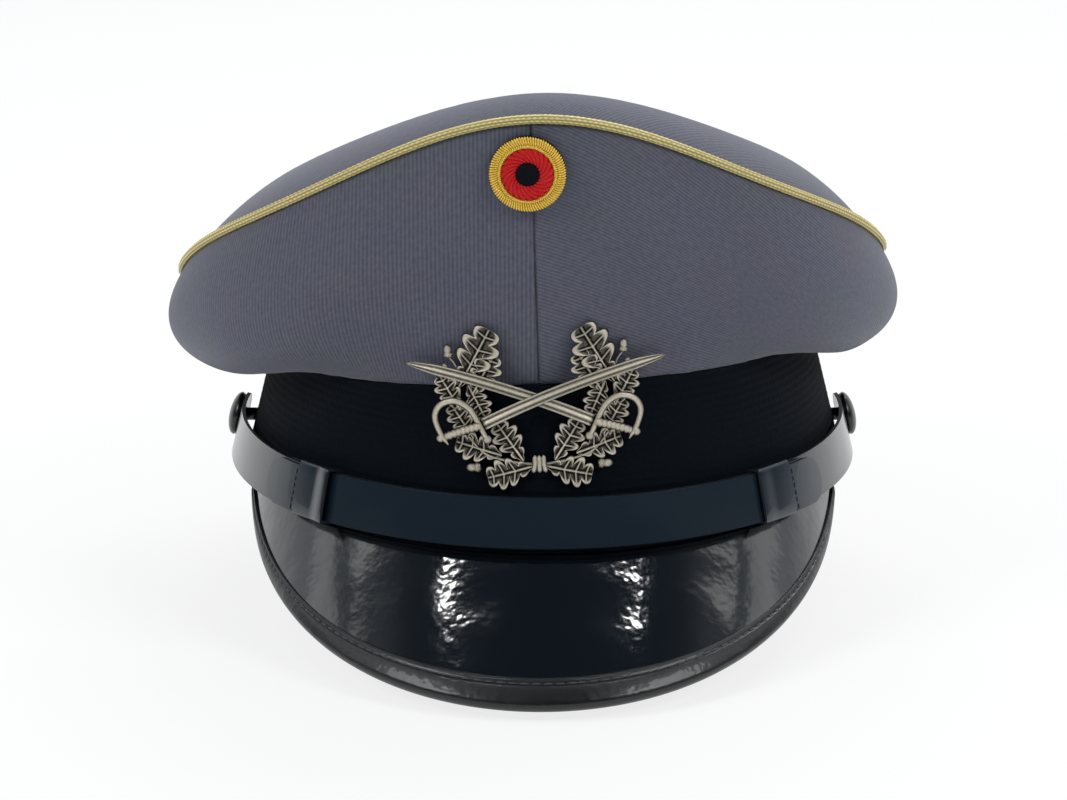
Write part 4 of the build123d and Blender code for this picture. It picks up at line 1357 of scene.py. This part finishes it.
def badge_tube(bm, points, radii, low, around=10, flatten=0.8):
    """A round bar through badge points (x, y), following their smooth curve."""
    relief = relief_of(bm)
    fine = smooth_line(points)
    count = len(fine) - 1
    made = bmesh.ops.create_grid(bm, x_segments=count, y_segments=around, size=0.5)["verts"]
    for vert in made:
        index = int(round((vert.co.x + 0.5) * count))
        angle = 2 * pi * (vert.co.y + 0.5)
        ahead = (fine[min(index + 1, count)] - fine[max(index - 1, 0)]).normalized()
        side = Vector((-ahead.y, ahead.x))
        radius = radii(index / count)
        spot = fine[index] + side * (radius * cos(angle))
        vert.co = on_badge(spot.x, spot.y, low + radius * flatten * (1 + sin(angle))) * MM
        vert[relief] = min(0.95, max(0.0, 0.1 + 0.85 * max(0.0, sin(angle)) ** 1.5))
    bmesh.ops.remove_doubles(bm, verts=made, dist=weld)


def smooth_line(points, steps=8):
    """Points on the smooth curve (Catmull-Rom) through the given points."""
    line = [Vector(p) for p in points]
    padded_line = [line[0] * 2 - line[1]] + line + [line[-1] * 2 - line[-2]]
    fine = []
    for a, b, c, d in zip(padded_line, padded_line[1:], padded_line[2:], padded_line[3:]):
        for step in range(steps):
            u = step / steps
            bend = (a * 2 - b * 5 + c * 4 - d) * u * u + (b * 3 - a - c * 3 + d) * u**3
            fine.append((b * 2 + (c - a) * u + bend) / 2)
    return fine + [line[-1]]


wreath = bmesh.new()
relief_of(wreath)
for side in (-1, 1):
    for number, (base, tip, width) in enumerate(branch_leaves):
        low = 0.25 if number % 2 else 0.0
        oak_leaf(wreath, (side * base[0], base[1]), (side * tip[0], tip[1]), width, low)
    for x, y, heading, size in branch_acorns:
        acorn(wreath, side * x, y, heading if side > 0 else 180 - heading, size, 0.1)
    badge_tube(wreath, [(side * x, y) for x, y in branch_line], lambda share: 0.42 - 0.15 * share, 0.0)
bmesh.ops.recalc_face_normals(wreath, faces=wreath.faces)
make_piece(wreath, "badge_oak_wreath", silver, "cap", "badge_wreath", slot="badge_metal")

knot = bmesh.new()
for step in (-1, 0, 1):
    badge_tube(
        knot, [(step * 1.15, -11.8), (step * 1.2, -14.2), (step * 1.75, -16.6)],
        lambda share: 0.72 * (1 - abs(2 * share - 1) ** 8) + 0.04, 1.2 + 0.15 * (step == 0),
    )
bmesh.ops.recalc_face_normals(knot, faces=knot.faces)
make_piece(knot, "badge_ribbon_knot", silver, "cap", "badge_knot", slot="badge_metal")


def blade_ridges(across):
    """Section of a blade: a ridge at each edge and one in the middle, with a fuller on each side."""
    return 0.30 + 0.20 * cos(2 * pi * across) - 0.28 * max(0.0, abs(across) - 0.86) / 0.14


blade_bow, blade_half_width = 3.2, 1.62


def sabre(side, name, node, low):
    """A curved sabre: blade, ribbed grip, pommel and the bow of its guard."""
    bm = bmesh.new()
    relief_of(bm)
    guard_end, tip = Vector((-side * 14.6, -3.1)), Vector((side * 34.9, 13.3))
    chord = tip - guard_end
    middle = (guard_end + tip) / 2 + Vector((-chord.y, chord.x)).normalized() * (side * blade_bow)

    def spot(s, t):
        line = guard_end * (1 - s) ** 2 + middle * (2 * s * (1 - s)) + tip * s * s
        ahead = ((middle - guard_end) * (1 - s) + (tip - middle) * s).normalized()
        half = blade_half_width * (1 - 0.15 * s) * sqrt(max(0.0004, min(1.0, (1 - s) / 0.16)))
        return line + Vector((-ahead.y, ahead.x)) * ((2 * t - 1) * half)

    def place(s, t):
        x, y = spot(s, t)
        return on_badge(x, y, low + 0.45 + blade_ridges(2 * t - 1))

    blade = mapped_grid(60, 20, place, None, lambda s, t: 0.3 + 0.7 * min(1.0, blade_ridges(2 * t - 1) * 2.0))
    close_back(blade, 0.7)
    merge_into(bm, blade)

    def grip_radius(share):
        ribbed = 1.35 + 0.28 * abs(sin(9 * pi * share)) - 0.22
        return ribbed * (1 - 0.12 * share) * min(1, 8 * min(share, 1 - share) + 0.3)

    grip = []
    for step in range(13):
        share = step / 12
        grip.append((-side * (14.9 + 10.6 * share), -3.25 - 3.3 * share + 0.25 * sin(pi * share)))
    badge_tube(bm, grip, grip_radius, low + 0.1, around=14)
    bow = (
        (14.0, -6.7), (15.5, -3.7), (18.2, 1.1), (21.9, 3.3),
        (25.8, 2.4), (27.6, -0.6), (26.6, -4.7), (24.3, -8.6),
    )
    badge_tube(
        bm, [(-side * x, y) for x, y in bow],
        lambda share: (0.72 + 0.22 * sin(pi * share)) * min(1, 14 * (1 - share) + 0.2), low + 0.25, around=12,
    )
    relief = relief_of(bm)
    for x, y, size in ((13.7, -7.1, 1.25), (26.3, -6.8, 1.15)):
        made = bmesh.ops.create_uvsphere(bm, u_segments=16, v_segments=10, radius=1.0)["verts"]
        for vert in made:
            ball = vert.co.copy()
            rise = low + 0.8 + ball.z * size * 0.7
            vert.co = on_badge(-side * x + ball.x * size, y + ball.y * size, rise) * MM
            vert[relief] = min(0.9, max(0.0, 0.1 + 0.8 * ball.z))
    bmesh.ops.recalc_face_normals(bm, faces=bm.faces)
    make_piece(bm, name, silver, "cap", node, slot="badge_metal")


sabre(-1, "sabre_under", "badge_sabre_left", 1.15)
sabre(1, "sabre_over", "badge_sabre_right", 1.75)

# ---- Floor and light ----
floor_bm = bmesh.new()
bmesh.ops.create_grid(floor_bm, x_segments=1, y_segments=1, size=12.0)
floor_mesh = bpy.data.meshes.new("floor")
floor_bm.to_mesh(floor_mesh)
floor_bm.free()
floor = bpy.data.objects.new("floor", floor_mesh)
floor.location = (0, 0, cad_box[0][2] - 0.0005)
bpy.context.scene.collection.objects.link(floor)

# Matt white paper. The camera and mirrors see it lifted towards white, with the cap's shadow on it.
floor_lift = 0.8


def white_paper():
    material, tree = new_material("matt_white_paper")
    lit = add_node(
        tree, "ShaderNodeBsdfPrincipled",
        {"Base Color": linear("#f7f7f7"), "Roughness": 0.9, "Specular IOR Level": 0.1},
    )
    rays = add_node(tree, "ShaderNodeLightPath").outputs
    looked_at = add_node(
        tree, "ShaderNodeMath", {0: rays["Is Camera Ray"], 1: rays["Is Transmission Ray"]},
        operation="MAXIMUM",
    )
    seen = add_node(
        tree, "ShaderNodeMath", {0: looked_at.outputs[0], 1: rays["Is Glossy Ray"]}, operation="MAXIMUM"
    )
    lift = add_node(tree, "ShaderNodeMath", {0: seen.outputs[0], 1: floor_lift}, operation="MULTIPLY")
    white = add_node(tree, "ShaderNodeEmission", {"Color": (1, 1, 1, 1), "Strength": 1.0})
    mixed = add_node(
        tree, "ShaderNodeMixShader", {0: lift.outputs[0], 1: lit.outputs[0], 2: white.outputs[0]}
    )
    finish_material(tree, mixed)
    return material


floor_mesh.materials.append(white_paper())


def soft_box(name, place, target, width, height, power):
    """A rectangular soft light that faces a target."""
    data = bpy.data.lights.new(name, "AREA")
    data.shape = "RECTANGLE"
    data.size = width
    data.size_y = height
    data.energy = power
    lamp = bpy.data.objects.new(name, data)
    lamp.location = place
    lamp.rotation_euler = (Vector(target) - Vector(place)).to_track_quat("-Z", "Y").to_euler()
    bpy.context.scene.collection.objects.link(lamp)


# On each side a high key light for the cloth, a faint fill, and two that the visor mirrors: a strip
# that gives its sharp streak and a wider box outside it that gives the soft one. A window behind
# lights the tip.
for side in (-1, 1):
    soft_box("key", (side * 1.45, -0.9, 1.4), (0, 0, 0.05), width=1.0, height=0.7, power=16.5)
    soft_box("fill", (side * 1.45, 0.15, 0.75), (0, 0, 0.08), width=0.6, height=0.4, power=0.7)
    soft_box("strip", (side * 0.37, -0.18, 1.25), (0, -0.12, 0.0), width=0.04, height=0.45, power=1.2)
    soft_box("smear", (side * 0.97, 0.1, 1.15), (0, -0.12, 0.0), width=0.14, height=0.6, power=0.45)
soft_box("back_window", (0.35, 1.25, 1.6), (0, 0, 0.05), width=1.8, height=0.8, power=22)

# The room: dark before and above the cap, bright behind it, so that the lacquer stays black in front.
world = bpy.data.worlds.new("studio")
bpy.context.scene.world = world
world.use_nodes = True
tree = world.node_tree
tree.nodes.clear()
rays = add_node(tree, "ShaderNodeLightPath").outputs
direction = add_node(tree, "ShaderNodeTexCoord").outputs["Generated"]
towards = add_node(tree, "ShaderNodeSeparateXYZ", {0: direction})
behind = add_node(
    tree, "ShaderNodeMapRange", {"Value": towards.outputs["Y"], "From Min": 0.05, "From Max": 0.85},
    interpolation_type="SMOOTHSTEP",
).outputs["Result"]
brightness = add_node(tree, "ShaderNodeMapRange", {"Value": behind, "To Min": 0.12, "To Max": 1.0})
tint = add_node(
    tree, "ShaderNodeMix", {"Factor": behind, "A": linear("#a9c4e0"), "B": linear("#eceff5")},
    data_type="RGBA",
)
ambient = add_node(
    tree, "ShaderNodeBackground", {"Color": tint.outputs["Result"], "Strength": brightness.outputs["Result"]}
)
backdrop = add_node(tree, "ShaderNodeBackground", {"Color": (1, 1, 1, 1), "Strength": 1.0})
mirrored = add_node(tree, "ShaderNodeMath", {0: rays["Is Glossy Ray"], 1: behind}, operation="MULTIPLY")
looked_at = add_node(
    tree, "ShaderNodeMath", {0: rays["Is Camera Ray"], 1: rays["Is Transmission Ray"]}, operation="MAXIMUM"
)
seen = add_node(
    tree, "ShaderNodeMath", {0: looked_at.outputs[0], 1: mirrored.outputs[0]}, operation="MAXIMUM"
)
mixed = add_node(
    tree, "ShaderNodeMixShader", {0: seen.outputs[0], 1: ambient.outputs[0], 2: backdrop.outputs[0]}
)
tree.links.new(mixed.outputs[0], add_node(tree, "ShaderNodeOutputWorld").inputs["Surface"])
bpy.context.scene.view_settings.view_transform = "Standard"
